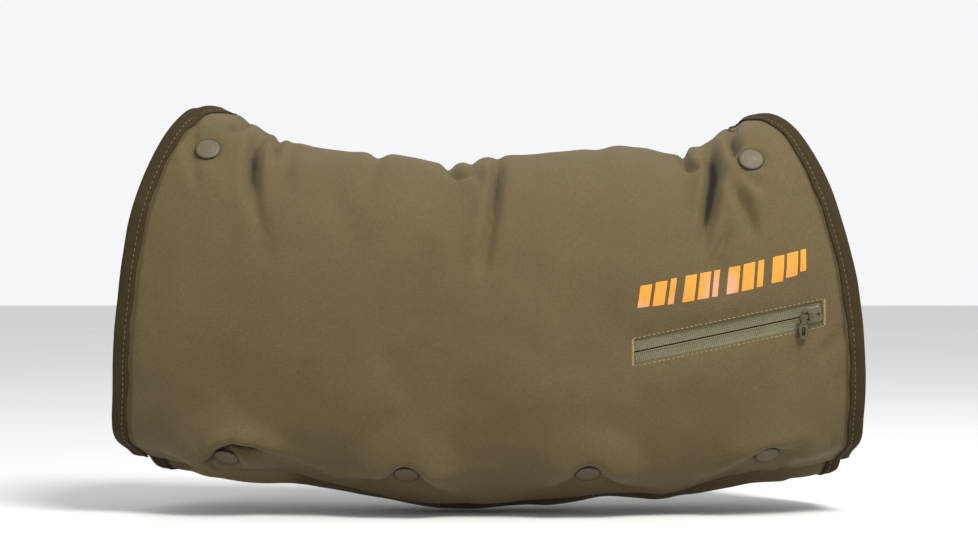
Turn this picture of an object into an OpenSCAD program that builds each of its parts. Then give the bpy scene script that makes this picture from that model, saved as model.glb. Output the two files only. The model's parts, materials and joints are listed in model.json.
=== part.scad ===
// Hand warmer muff: one padded panel wrapped into a tube that the two forearms pass through.
// The long edges overlap underneath and close with a row of four snaps, so the front folds
// up about a crease near the top. A pocket in the front closes with a reversed coil zip.
// Frame: +X along the tube, -Y to the front, +Z up, origin at the middle of the hand channel.

/* [Tube] */
// Half length of the tube at the middle of its section
half_length = 180; // [170:1:200]
// Extra half length at the front, where the cuffs stand out
front_reach = 26; // [15:1:34]
// How much shorter the top edge is than the middle, per side
top_gather = 17; // [8:1:20]
// How far the two ends lift above the middle
end_lift = 24; // [15:0.5:32]
// How far the two ends curve back behind the middle
end_sweep = 20; // [10:1:26]

/* [Panel] */
// Thickness of the outer shell fabric
shell_t = 0.8; // [0.6:0.1:1.0]
// Thickness of the padding over most of the panel
pad_t = 10; // [9.5:0.1:11]
// Thickness of the fleece lining
lining_t = 1.6; // [1.2:0.1:1.8]
// Width of the edge binding on the face
binding_w = 8; // [6:0.5:8.5]
// Thickness of the edge binding
binding_t = 0.8; // [0.6:0.1:0.9]

/* [Opening] */
// Height of the crease about which the front folds up
crease_z = 80; // [76:1:82]
// How far the crease axis stands in front of the origin
crease_y = 45.5; // [45:0.1:47]
// How far the front hem laps under the back hem, in profile steps
front_hem = 3.15; // [3.05:0.01:3.2]

/* [Snaps] */
// Diameter of a snap cap
cap_d = 15; // [13:0.5:16]
// Distance between two snaps of the lower row
row_pitch = 102; // [96:1:104]
// Sideways shift of the lower row
row_shift = 4.5; // [0:0.5:6]
// Height of the middle between the two corner snaps
corner_z = 100.5; // [98:0.5:102]

/* [Zip] */
// Length of the zip window
zip_l = 110; // [100:1:112]
// Width of the zip window
zip_w = 13; // [12:0.5:14]
// Angle of the zip above the horizontal
zip_angle = 11.2; // [8:0.1:13]
// Travel of the slider
zip_travel = 98; // [60:1:98]

/* [Hidden] */

// Section of the tube as points [back, up], from the front middle up, over the top and round the back.
SECTION = [[-63, 0], [-60, 36], [-51, 66], [-34, 89], [-8, 100], [22, 97], [46, 78], [60, 46],
  [64, 8], [61, -32], [51, -68], [30, -92], [2, -101], [-24, -89], [-48, -76], [-60, -42]];
NS = len(SECTION);
gap = 0.15;           // between the layers
snap_gap = 4.7;       // between the two hems, filled by a socket and a stud
thin_pad = 3;         // padding where it is squeezed at the cuffs and corners
hem_pad = 0.9;        // padding where it is squeezed in the hems
eps = 0.004;

function sm(a, b, x) = let (f = min(1, max(0, (x - a) / (b - a)))) f * f * (3 - 2 * f);
function mix(a, b, f) = a + (b - a) * f;
function unit(v) = v / norm(v);
function wrap(i) = ((i % NS) + NS) % NS;
function spline(a, b, c, d, f) = 0.5 * (2 * b + (c - a) * f + (2 * a - 5 * b + 4 * c - d) * f * f + (3 * b - a - 3 * c + d) * f * f * f);
function section(t) = let (i = floor(t), f = t - i)
  spline(SECTION[wrap(i - 1)], SECTION[wrap(i)], SECTION[wrap(i + 1)], SECTION[wrap(i + 2)], f);
function reach(s) = half_length - front_reach * s[0] / 63 - top_gather * s[1] / 100;
// Outer surface of the panel: u runs -1 to 1 along the tube, t runs round the section.
function surf(u, t) = let (s = section(t))
  [u * reach(s), end_sweep * u * u + s[0] * (1 - 0.06 * u * u), end_lift * u * u + s[1] * (1 + 0.05 * u * u)];
function outward(u, t) = unit(cross(surf(u + eps, t) - surf(u - eps, t), surf(u, t + eps) - surf(u, t - eps)));
function at(u, t, d) = surf(u, t) - d * outward(u, t);
// The t at which the front of the tube reaches a height, and the u at which it reaches an x.
function t_at_z(u, z, lo = 0.5, hi = 4, n = 24) = n == 0 ? (lo + hi) / 2 :
  let (m = (lo + hi) / 2) surf(u, m)[2] < z ? t_at_z(u, z, m, hi, n - 1) : t_at_z(u, z, lo, m, n - 1);
function tb_at_z(u, z, lo = 4.2, hi = 8, n = 24) = n == 0 ? (lo + hi) / 2 :
  let (m = (lo + hi) / 2) surf(u, m)[2] > z ? tb_at_z(u, z, m, hi, n - 1) : tb_at_z(u, z, lo, m, n - 1);
function u_at_x(x, t) = x / reach(section(t));

// How far the back panel runs inside the front hem, and how thick the padding is.
function lap(t) = t < 8 ? 0 : (total_hem() + snap_gap) * sm(11.7, 12.75, t);
function total_hem() = shell_t + gap + hem_pad + gap + lining_t;
function squeeze(u, t) = max(1 - sm(0.055, 0.095, 1 - abs(u)), sm(0.62, 0.78, abs(u)) * sm(40, 70, section(t)[1]));
function hem(t) = t < 8 ? 1 - sm(-1.9, -1.5, t) : sm(12.2, 12.8, t);
function pad(u, t) = mix(mix(pad_t, thin_pad, squeeze(u, t)), hem_pad, hem(t));
// How far the padding steps back behind the zip and its pocket bag.
function pocket(u, t) = t > 8 ? 0 : max(0, min(pad(u, t) - 1.2,
  7.4 * sm(0.30, 0.345, u) * (1 - sm(0.93, 0.96, u)) * sm(-1.6, -1.3, t) * (1 - sm(0.5, 0.8, t))));
function total(u, t) = shell_t + gap + pad(u, t) + gap + lining_t;

// Depths of the faces of each layer below the outer surface.
function shell_out(u, t) = lap(t);
function shell_in(u, t) = lap(t) + shell_t;
function pad_out(u, t) = lap(t) + shell_t + gap + pocket(u, t);
function pad_in(u, t) = lap(t) + shell_t + gap + pad(u, t);
function lining_out(u, t) = pad_in(u, t) + gap;
function lining_in(u, t) = lining_out(u, t) + lining_t;

US = [-1, -.945, -.905, -.85, -.78, -.7, -.6, -.5, -.4, -.3, -.2, -.1, 0,
  .1, .2, .3, .345, .43, .5, .6, .7, .78, .85, .905, .945, 1];
FRONT_T = [-front_hem, -2.8, -2.5, -2.2, -1.9, -1.7, -1.5, -1.3, -.9, -.5, -.1, .25, .5, .8, 1];
BACK_T = [3.1, 3.6, 4.1, 4.6, 5.1, 5.6, 6.1, 6.6, 7.2, 7.8, 8.4, 9, 9.6, 10.2, 10.8, 11.3, 11.7, 12, 12.3,
  12.55, 12.8, 13.2, 13.5, 13.8, 14.05];
function front_ts(u) = let (c = t_at_z(u, crease_z - 0.6)) [each FRONT_T, for (k = [1:4]) 1 + (c - 1) * k / 4];
function back_ts(u) = let (c = t_at_z(u, crease_z + 0.6)) [c, (c + 3.1) / 2, each BACK_T];

// A sheet between two depths over a grid of stations.
module sheet_solid(grid) {
  // grid[i][j] = [outer point, inner point]
  nu = len(grid) - 1;
  nt = len(grid[0]) - 1;
  w = nt + 1;
  k = (nu + 1) * w;
  pts = [for (i = [0:nu]) for (j = [0:nt]) grid[i][j][0], for (i = [0:nu]) for (j = [0:nt]) grid[i][j][1]];
  o = function (i, j) i * w + j;
  quads = [
    for (i = [0:nu - 1]) for (j = [0:nt - 1]) [o(i, j), o(i, j + 1), o(i + 1, j + 1), o(i + 1, j)],
    for (i = [0:nu - 1]) for (j = [0:nt - 1]) [k + o(i + 1, j + 1), k + o(i, j + 1), k + o(i, j), k + o(i + 1, j)],
    for (i = [0:nu - 1]) [o(i, 0), o(i + 1, 0), k + o(i + 1, 0), k + o(i, 0)],
    for (i = [0:nu - 1]) [o(i + 1, nt), o(i, nt), k + o(i, nt), k + o(i + 1, nt)],
    for (j = [0:nt - 1]) [o(0, j + 1), o(0, j), k + o(0, j), k + o(0, j + 1)],
    for (j = [0:nt - 1]) [o(nu, j), o(nu, j + 1), k + o(nu, j + 1), k + o(nu, j)]];
  polyhedron(pts, [for (q = quads) each [[q[0], q[1], q[2]], [q[0], q[2], q[3]]]]);
}
module front_layer(a, b) {
  sheet_solid([for (u = US) let (ts = front_ts(u)) [for (t = ts) [at(u, t, a(u, t)), at(u, t, b(u, t))]]]);
}
module back_layer(a, b) {
  sheet_solid([for (u = US) let (ts = back_ts(u)) [for (t = ts) [at(u, t, a(u, t)), at(u, t, b(u, t))]]]);
}

// A folded tape round the raw edge at one cuff: side is -1 at the left and 1 at the right.
module binding(side, ts) {
  c = 0.35; // clearance over the faces of the panel
  rings = [for (t = ts) let (r = reach(section(t)), l = lap(t), d = l + total(side, t), b = binding_t, w = binding_w)
    [for (p = [[w, l - c - b], [-b - 0.2, l - c - b], [-b - 0.2, d + c + b], [w, d + c + b],
        [w, d + c], [-0.2, d + c], [-0.2, l - c], [w, l - c]])
      at(side * (1 - p[0] / r), t, p[1])]];
  n = len(rings);
  flip = side > 0;
  sides = [for (i = [0:n - 2]) for (j = [0:7]) [i * 8 + j, i * 8 + (j + 1) % 8, (i + 1) * 8 + (j + 1) % 8, (i + 1) * 8 + j]];
  e = (n - 1) * 8;
  ends = [for (q = [[0, 1, 6, 7], [1, 2, 5, 6], [2, 3, 4, 5]]) each
    [[q[3], q[2], q[1], q[0]], [e + q[0], e + q[1], e + q[2], e + q[3]]]];
  tris = [for (q = [each sides, each ends]) each [[q[0], q[1], q[2]], [q[0], q[2], q[3]]]];
  polyhedron([for (r = rings) each r], [for (f = tris) flip ? [f[2], f[1], f[0]] : f]);
}

// Places children with their z axis along a direction.
module stand_on(o, n, x) {
  ex = unit(x - (x * n) * n);
  ey = cross(n, ex);
  multmatrix([[ex[0], ey[0], n[0], o[0]], [ex[1], ey[1], n[1], o[1]], [ex[2], ey[2], n[2], o[2]], [0, 0, 0, 1]]) children();
}

// Snaps, drawn with z outward from the face that the cap sits on. d is the depth of the first wall.
module snap_cap(d) {
  rotate_extrude($fn = 64) polygon([[0, 2.0], [cap_d / 2 - 3, 1.9], [cap_d / 2 - 1, 1.6], [cap_d / 2 - 0.25, 1.15],
    [cap_d / 2, 0.7], [cap_d / 2 - 0.15, 0.2], [cap_d / 2 - 0.6, 0.05], [2.1, 0.05], [2.1, -d - 0.85], [0, -d - 0.85]]);
}
module snap_socket(d) {
  translate([0, 0, -d - 0.2]) rotate_extrude($fn = 64) polygon([[2.2, -0.1], [6.2, -0.1], [6.4, -0.4], [6.4, -3.4], [6.2, -3.7],
    [4.7, -3.7], [4.6, -3.5], [4.6, -3.1], [5.5, -3.1], [5.5, -0.9], [2.2, -0.9]]);
}
module snap_spring(d) {
  translate([0, 0, -d - 2.2]) difference() {
    rotate_extrude($fn = 48) translate([4.95, 0]) circle(0.45, $fn = 24);
    translate([0, -1, -1]) cube([8, 2, 2]);
  }
}
// The nose of the stud is a low dome, so that the row can part while the hem swings forward.
module snap_stud(d) {
  translate([0, 0, -d - snap_gap]) rotate_extrude($fn = 64) polygon([[2.1, 0.05], [5.6, 0.05], [5.8, 0.2], [5.8, 0.45], [5.6, 0.6],
    [4.3, 0.6], [4.2, 0.85], [3.5, 1.2], [2.7, 1.55], [2.1, 1.7]]);
}
module snap_post(d, d2) {
  // d2 is the thickness of the second wall
  translate([0, 0, -d - snap_gap]) rotate_extrude($fn = 64) polygon([[0, -d2 - 0.1], [5.3, -d2 - 0.1], [5.5, -d2 - 0.3],
    [5.5, -d2 - 0.9], [5.2, -d2 - 1.1], [0, -d2 - 1.1]]);
  translate([0, 0, -d - snap_gap - d2 - 0.5]) cylinder(r = 1.95, h = d2 + 2.2, $fn = 48);
}

ROW = [for (k = [-1.5, -.5, .5, 1.5]) row_shift + k * row_pitch];
row_t = -2.25;
module at_row() for (x = ROW) let (u = u_at_x(x, row_t)) stand_on(surf(u, row_t), outward(u, row_t), [1, 0, 0]) children();
hem_d = total_hem();

// Corner snaps as [x, height above the middle height]; the gathered cuffs pull them apart.
CORNERS = [[-160, 3], [149, -3]];
function corner_u(c) = let (u0 = u_at_x(c[0], 2.6), t1 = t_at_z(u0, corner_z + c[1])) u_at_x(c[0], t1);
module at_corner_front() for (c = CORNERS) let (u = corner_u(c), t = t_at_z(u, corner_z + c[1])) stand_on(surf(u, t), outward(u, t), [1, 0, 0]) children();
module at_corner_back() for (c = CORNERS) let (u = corner_u(c), t = tb_at_z(u, corner_z + c[1])) stand_on(surf(u, t), outward(u, t), [1, 0, 0]) children();
corner_d = shell_t + gap + thin_pad + gap + lining_t + 0.4; // the wall is round, so the metal stands off it a little

// Zip frame: x along the zip to the right, y across it and up, z outward from the shell.
zip_u = 0.647;
zip_t = -0.242;
zip_o = surf(zip_u, zip_t);
zip_n = outward(zip_u, zip_t);
module at_zip() stand_on(zip_o, zip_n, [cos(zip_angle), 0, sin(zip_angle)]) children();
slider_x = zip_travel / 2; // slider at rest, with the zip closed
pin_x = -2.4;         // hinge pin of the link, from the slider's middle
pin_z = 1.5;
link_l = 4.2;         // from the hinge pin to the swivel of the tab

module front_shell() color("#6f6344") difference() {
  front_layer(function (u, t) shell_out(u, t), function (u, t) shell_in(u, t));
  at_zip() translate([-zip_l / 2, -zip_w / 2, -4]) cube([zip_l, zip_w, 7]);
}
module front_insulation() color("#e8e4d8") front_layer(function (u, t) pad_out(u, t), function (u, t) pad_in(u, t));
module front_lining() color("#5b5238") front_layer(function (u, t) lining_out(u, t), function (u, t) lining_in(u, t));
module back_shell() color("#6f6344") back_layer(function (u, t) shell_out(u, t), function (u, t) shell_in(u, t));
module back_insulation() color("#e8e4d8") back_layer(function (u, t) pad_out(u, t), function (u, t) pad_in(u, t));
module back_lining() color("#5b5238") back_layer(function (u, t) lining_out(u, t), function (u, t) lining_in(u, t));
module front_binding_left() color("#3a3120") binding(-1, front_ts(-1));
module front_binding_right() color("#3a3120") binding(1, front_ts(1));
module back_binding_left() color("#3a3120") binding(-1, back_ts(-1));
module back_binding_right() color("#3a3120") binding(1, back_ts(1));

module bottom_snap_caps() color("#7a7356") at_row() snap_cap(hem_d);
module bottom_snap_sockets() color("#b9b4a0") at_row() snap_socket(hem_d);
module bottom_snap_springs() color("#b0863c") at_row() snap_spring(hem_d);
module bottom_snap_studs() color("#b9b4a0") at_row() snap_stud(hem_d);
module bottom_snap_posts() color("#7a7356") at_row() snap_post(hem_d, hem_d);
module corner_snap_caps() color("#7a7356") at_corner_front() snap_cap(corner_d);
module corner_snap_sockets() color("#b9b4a0") at_corner_front() snap_socket(corner_d);
module corner_snap_springs() color("#b0863c") at_corner_front() snap_spring(corner_d);
// The studs face into the channel from the back wall, so that a pinched cuff snaps to the front.
module corner_snap_studs() color("#b9b4a0") at_corner_back() translate([0, 0, -corner_d]) mirror([0, 0, 1]) translate([0, 0, hem_d + snap_gap]) snap_stud(hem_d);
module corner_snap_posts() color("#7a7356") at_corner_back() translate([0, 0, -corner_d]) mirror([0, 0, 1]) translate([0, 0, hem_d + snap_gap]) snap_post(hem_d, corner_d);

module zip_tape(side) translate([0, side * (0.5 + 5.75), -3.55]) cube([zip_l + 5, 11.5, 0.6], center = true);
module zip_coil(side) translate([-zip_l / 2, side * 1.9, -5]) rotate([0, 90, 0]) cylinder(r = 1.08, h = zip_l, $fn = 32);
module zip_tape_upper() color("#777259") at_zip() zip_tape(1);
module zip_tape_lower() color("#777259") at_zip() zip_tape(-1);
module zip_coil_upper() color("#6a664e") at_zip() zip_coil(1);
module zip_coil_lower() color("#6a664e") at_zip() zip_coil(-1);
module zip_top_stops() color("#55523f") at_zip() for (s = [-1, 1]) translate([zip_l / 2 + 1.3, s * 1.9, -5]) cube([2.2, 2.4, 2.2], center = true);
module zip_bottom_stop() color("#55523f") at_zip() translate([-zip_l / 2 - 1.3, 0, -5]) cube([2.2, 6, 2.2], center = true);

bag_u = [.345, .43, .5, .6, .7, .78, .85, .9];
bag_t = [-1.25, -.9, -.5, -.1, .25, .45];
module pocket_bag() color("#4d472f") sheet_solid([for (u = bag_u) [for (t = bag_t) [at(u, t, 7.65), at(u, t, 8.05)]]]);

// Outline of the slider's two plates, wide towards the closed end of the zip.
module slider_plate(h) linear_extrude(h) polygon([[-5.6, -2.8], [-5.6, 2.8], [-5.1, 3.4], [-2.2, 4.5], [3.4, 4.5],
  [5.1, 4.1], [5.6, 3.5], [5.6, -3.5], [5.1, -4.1], [3.4, -4.5], [-2.2, -4.5], [-5.1, -3.4]]);
module zip_slider() color("#6f6b52") at_zip() translate([slider_x, 0, 0]) {
  difference() {
    translate([0, 0, -2.7]) slider_plate(1.9);
    translate([2.9, 0, -1.5]) cylinder(r = 1.1, h = 2, $fn = 32);
  }
  translate([2.4, -0.4, -6.6]) cube([3.2, 0.8, 4.1]);
  translate([0, 0, -7.4]) slider_plate(1.1);
  for (s = [-1, 1]) translate([-2.2, s * 4.05 - 0.45, -6.7]) cube([5.6, 0.9, 2.5]);
  for (s = [-1, 1]) translate([pin_x - 1.4, s * 1.95 - 0.45, -1]) cube([2.8, 0.9, pin_z + 1]);
  for (s = [-1, 1]) translate([pin_x, s * 1.95 + 0.45, pin_z]) rotate([90, 0, 0]) cylinder(r = 1.4, h = 0.9, $fn = 32);
  translate([pin_x, 2.2, pin_z]) rotate([90, 0, 0]) cylinder(r = 0.75, h = 4.4, $fn = 32);
}
module at_link() at_zip() translate([slider_x + pin_x, 0, pin_z]) children();
module zip_pull_link() color("#5d5a44") at_link() difference() {
  union() {
    translate([0, 1.3, 0]) rotate([90, 0, 0]) cylinder(r = 1.5, h = 2.6, $fn = 32);
    translate([-link_l, -1.3, -0.5]) cube([link_l - 0.4, 2.6, 1.0]);
    translate([-link_l, 0, -0.5]) cylinder(r = 1.9, h = 1.0, $fn = 32);
  }
  translate([0, 3, 0]) rotate([90, 0, 0]) cylinder(r = 0.85, h = 6, $fn = 32);
  translate([-link_l, 0, -1]) cylinder(r = 0.9, h = 2, $fn = 32);
}
module tab_outline(r, l, $fn = 32) hull() {
  circle(r);
  translate([0, -l]) circle(r * 0.88);
}
module zip_pull_tab() color("#4f4c3a") at_link() translate([-link_l, 0, 0]) rotate([0, 0, -zip_angle]) {
  for (z = [0.7, -1.3]) translate([0, 0, z]) linear_extrude(0.6) {
    circle(1.9, $fn = 32);
    translate([-1.3, -3.6]) square([2.6, 3.6]);
  }
  translate([0, 0, -1.0]) cylinder(r = 0.8, h = 2.0, $fn = 32);
  translate([-1.3, -3.6, -1.3]) cube([2.6, 1.1, 2.6]);
  difference() {
    translate([0, -5.4, -0.9]) linear_extrude(1.8) tab_outline(2.6, 4.6);
    translate([0, -6.3, -2]) linear_extrude(4) tab_outline(1.15, 3.2);
  }
}

front_shell();
front_insulation();
front_lining();
front_binding_left();
front_binding_right();
back_shell();
back_insulation();
back_lining();
back_binding_left();
back_binding_right();
bottom_snap_caps();
bottom_snap_sockets();
bottom_snap_springs();
bottom_snap_studs();
bottom_snap_posts();
corner_snap_caps();
corner_snap_sockets();
corner_snap_springs();
corner_snap_studs();
corner_snap_posts();
zip_tape_upper();
zip_tape_lower();
zip_coil_upper();
zip_coil_lower();
zip_top_stops();
zip_bottom_stop();
pocket_bag();
zip_slider();
zip_pull_link();
zip_pull_tab();
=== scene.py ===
"""Looks of the hand warmer muff: cloth, padding, bindings, stitching, snaps, zip and print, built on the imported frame."""

import json
import math

import bmesh
import bpy
import numpy as np
from mathutils import Matrix, Vector

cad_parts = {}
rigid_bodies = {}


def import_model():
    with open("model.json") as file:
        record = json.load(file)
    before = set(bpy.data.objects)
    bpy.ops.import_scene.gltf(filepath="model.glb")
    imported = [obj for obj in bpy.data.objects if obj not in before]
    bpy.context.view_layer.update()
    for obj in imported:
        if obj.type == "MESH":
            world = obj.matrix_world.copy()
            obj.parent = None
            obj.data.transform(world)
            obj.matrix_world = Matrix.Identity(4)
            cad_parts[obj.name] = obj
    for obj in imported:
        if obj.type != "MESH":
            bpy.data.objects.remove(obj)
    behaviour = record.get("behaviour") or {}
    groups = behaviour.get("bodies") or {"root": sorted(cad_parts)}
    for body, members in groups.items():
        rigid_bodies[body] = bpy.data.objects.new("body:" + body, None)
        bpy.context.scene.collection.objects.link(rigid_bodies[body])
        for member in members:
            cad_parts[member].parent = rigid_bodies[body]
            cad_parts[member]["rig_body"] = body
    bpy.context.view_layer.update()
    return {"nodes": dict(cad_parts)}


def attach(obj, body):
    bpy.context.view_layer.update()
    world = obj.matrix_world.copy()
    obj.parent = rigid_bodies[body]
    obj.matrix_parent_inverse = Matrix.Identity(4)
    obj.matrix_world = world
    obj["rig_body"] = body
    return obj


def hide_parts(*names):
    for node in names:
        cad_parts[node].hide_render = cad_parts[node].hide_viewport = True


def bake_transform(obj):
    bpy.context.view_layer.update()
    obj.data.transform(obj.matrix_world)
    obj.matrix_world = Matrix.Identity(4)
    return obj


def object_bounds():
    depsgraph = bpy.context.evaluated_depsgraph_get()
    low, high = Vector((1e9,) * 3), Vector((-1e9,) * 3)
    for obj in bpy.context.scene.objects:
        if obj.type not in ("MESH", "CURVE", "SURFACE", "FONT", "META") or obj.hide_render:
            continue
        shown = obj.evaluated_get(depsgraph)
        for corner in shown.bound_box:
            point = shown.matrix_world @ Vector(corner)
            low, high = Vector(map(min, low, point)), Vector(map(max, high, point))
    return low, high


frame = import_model()
nodes = frame["nodes"]
MM = 0.001

# ---------------------------------------------------------------- the panel, as in the CAD (millimetres)
SECTION = np.array([[-63, 0], [-60, 36], [-51, 66], [-34, 89], [-8, 100], [22, 97], [46, 78], [60, 46],
                    [64, 8], [61, -32], [51, -68], [30, -92], [2, -101], [-24, -89], [-48, -76], [-60, -42]], float)
HALF, REACH, GATHER, LIFT, SWEEP = 180.0, 26.0, 17.0, 24.0, 20.0
SHELL_T, LINING_T, GAP = 0.8, 1.6, 0.15
HEM_T = SHELL_T + GAP + 0.9 + GAP + LINING_T
TOP_SEAM = 4.35  # where the front panel's cloth meets the back panel's, just behind the top


def sm(a, b, x):
    f = np.clip((np.asarray(x, float) - a) / (b - a), 0, 1)
    return f * f * (3 - 2 * f)


def mix(a, b, f):
    return a + (b - a) * f


def section(t):
    t = np.asarray(t, float)
    i = np.floor(t).astype(int)
    f = (t - i)[..., None]
    a, b, c, d = (SECTION[(i + k) % len(SECTION)] for k in (-1, 0, 1, 2))
    return 0.5 * (2 * b + (c - a) * f + (2 * a - 5 * b + 4 * c - d) * f * f + (3 * b - a - 3 * c + d) * f ** 3)


def reach(s):
    return HALF - REACH * s[..., 0] / 63 - GATHER * s[..., 1] / 100


def surf(u, t):
    u, t = np.broadcast_arrays(np.asarray(u, float), np.asarray(t, float))
    s = section(t)
    return np.stack([u * reach(s), SWEEP * u * u + s[..., 0] * (1 - 0.06 * u * u),
                     LIFT * u * u + s[..., 1] * (1 + 0.05 * u * u)], -1)


def unit(v):
    return v / np.maximum(np.linalg.norm(v, axis=-1, keepdims=True), 1e-12)


def outward(u, t, e=1e-3):
    return unit(np.cross(surf(u + e, t) - surf(u - e, t), surf(u, t + e) - surf(u, t - e)))


def lap(t):
    return np.where(t < 8, 0, (HEM_T + 4.7) * sm(11.7, 12.75, t))


def squeeze(u, t):
    return np.maximum(1 - sm(0.055, 0.095, 1 - np.abs(u)), sm(0.62, 0.78, np.abs(u)) * sm(40, 70, section(t)[..., 1]))


def hem(t):
    return np.where(t < 8, 1 - sm(-1.9, -1.5, t), sm(12.2, 12.8, t))


def pad(u, t):
    return mix(mix(10.0, 3.0, squeeze(u, t)), 0.9, hem(t))


def pocket(u, t):
    p = 7.4 * sm(0.30, 0.345, u) * (1 - sm(0.93, 0.96, u)) * sm(-1.6, -1.3, t) * (1 - sm(0.5, 0.8, t))
    return np.where(t > 8, 0, np.maximum(0, np.minimum(pad(u, t) - 1.2, p)))


# ---------------------------------------------------------------- hardware places, as in the CAD
ROW = [((-148.5, -31.755, -70.902), (-0.190, -0.540, -0.820)), ((-46.5, -41.799, -79.784), (-0.0605, -0.555, -0.830)),
       ((55.5, -41.335, -79.375), (0.072, -0.554, -0.829)), ((157.5, -30.364, -69.672), (0.201, -0.538, -0.819))]
CORNER = [((-160.057, -23.843, 103.5), (-0.0086, -0.7965, 0.6046)), ((148.932, -28.413, 97.5), (0.0238, -0.8229, 0.5677))]
BACK_POST = [((-129.819, 56.078, 103.5), (0.351, 0.696, 0.627)), ((119.523, 56.335, 97.5), (-0.319, 0.746, 0.585))]
ZO = np.array([134.344, -52.9391, -0.0855])
ZN = unit(np.array([0.147544, -0.989031, -0.00693]))
ZX = unit(np.array([0.969821, 0.143295, 0.197267]))
ZY = np.cross(ZN, ZX)
CAPS = [np.array(p) for p, _ in ROW + CORNER + BACK_POST]


def in_zip(p):
    q = p - ZO
    return q @ ZX, q @ ZY, q @ ZN


def zip_to(x, y, w):
    x, y, w = np.broadcast_arrays(x, y, w)
    return ZO + x[..., None] * ZX + y[..., None] * ZY + w[..., None] * ZN


# ---------------------------------------------------------------- where a point stands in the front view
CAM_Y, CAM_Z, LENS = -1340.0, 32.0, 2309.0


def seen(p):
    d = p[..., 1] - CAM_Y
    return 489 + LENS * p[..., 0] / d, 275 - LENS * (p[..., 2] - CAM_Z) / d


def smooth_line(xs, ys, w):
    """Values given at a few stations as one smooth curve."""
    fine = np.linspace(xs[0] - 3 * w, xs[-1] + 3 * w, 800)
    v = np.interp(fine, xs, ys)
    step = fine[1] - fine[0]
    k = np.exp(-((np.arange(-200, 201) * step / w) ** 2))
    k /= k.sum()
    v = np.convolve(np.pad(v, 200, mode="edge"), k, mode="valid")
    return lambda x: np.interp(x, fine, v)


# How far the stuffed panel settles from the plain tube: its top, bottom and ends, in millimetres
TOP_DZ = smooth_line([-205, -180, -160, -140, -125, -95, -60, -40, -20, 0, 60, 85, 100, 111, 125, 138, 150, 165, 190],
                     [4, 2.5, 0.5, -3, -4.5, -6, -4, -4, -6, -2, 0, -2, -9, -13, -13, -11, -4, -2, 0], 6)
BOT_DZ = smooth_line([-200, -180, -150, -125, -105, -85, -60, -30, 0, 40, 62, 80, 100, 125, 150, 180, 200],
                     [0, 1, 1, 4, 5, 4.5, 1, -2, -2, 0, 2.5, 1.5, -3, -3, 0, -2, -3], 8)
LEFT_DX = smooth_line([-95, -82, -72, -60, -40, 20, 60, 85, 105, 125], [2, 2, -4, -1, 1, -1.5, -3.5, -2.5, -1, 0], 8)
RIGHT_DX = smooth_line([-95, -80, -68, -55, -30, 30, 60, 90, 110, 125], [9, 8, 3, -2, -0.5, 1.5, 0, -1, -3, -5], 8)


def hardware_free(p):
    """0 on the snaps and the zip, where the cloth is held in place, and 1 away from them."""
    m = np.ones(p.shape[:-1])
    for c in CAPS:
        m = m * sm(8.0, 17.0, np.linalg.norm(p - c, axis=-1))
    x, y, w = in_zip(p)
    d = np.maximum(np.abs(x) - 57, np.abs(y) - 9)
    return m * np.where(np.abs(w) < 25, sm(0, 14, d), 1)


def settle(u, t, p):
    """The panel's own slow sag and spread, for every layer alike."""
    x, z = p[..., 0], p[..., 2]
    dz = TOP_DZ(x) * sm(30, 98, z) + BOT_DZ(x) * sm(-45, -92, z)
    dx = LEFT_DX(z) * sm(0.55, 1, -u) + RIGHT_DX(z) * sm(0.6, 1, u)
    m = hardware_free(surf(u, t))
    belly = np.where(t < 8, 1 - sm(-3.12, -2.42, t), 0) * sm(-118, -82, x) * (1 - sm(96, 136, x))
    return np.stack([dx * m, -1.5 * belly, dz * m - 5.2 * belly], -1)


_us = np.linspace(-1.02, 1.02, 205)
_tt = np.linspace(2.6, 6.2, 181)
_tb = np.linspace(-5.6, -1.8, 181)


def _edges():
    U, T = np.meshgrid(_us, _tt, indexing="ij")
    p = surf(U, T)
    y = seen(p + settle(U, T, p))[1]
    k = y.argmin(1)
    U2, T2 = np.meshgrid(_us, _tb, indexing="ij")
    p2 = surf(U2, T2)
    y2 = seen(p2 + settle(U2, T2, p2))[1]
    k2 = y2.argmax(1)
    return _tt[k], y.min(1), _tb[k2], y2.max(1)


T_TOP, Y_TOP, T_BOT, Y_BOT = _edges()


def unrolled(u, t):
    """The front view's place of a point, carried on over the top and under the bottom."""
    p = surf(u, t)
    X, Y = seen(p + settle(u, t, p))
    tw = np.where(t > 11.9, t - 16, t)
    top, yt = np.interp(u, _us, T_TOP), np.interp(u, _us, Y_TOP)
    bot, yb = np.interp(u, _us, T_BOT), np.interp(u, _us, Y_BOT)
    Y = np.where(tw > top, 2 * yt - Y, Y)
    Y = np.where(tw < bot, 2 * yb - Y, Y)
    return X, Y


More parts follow.
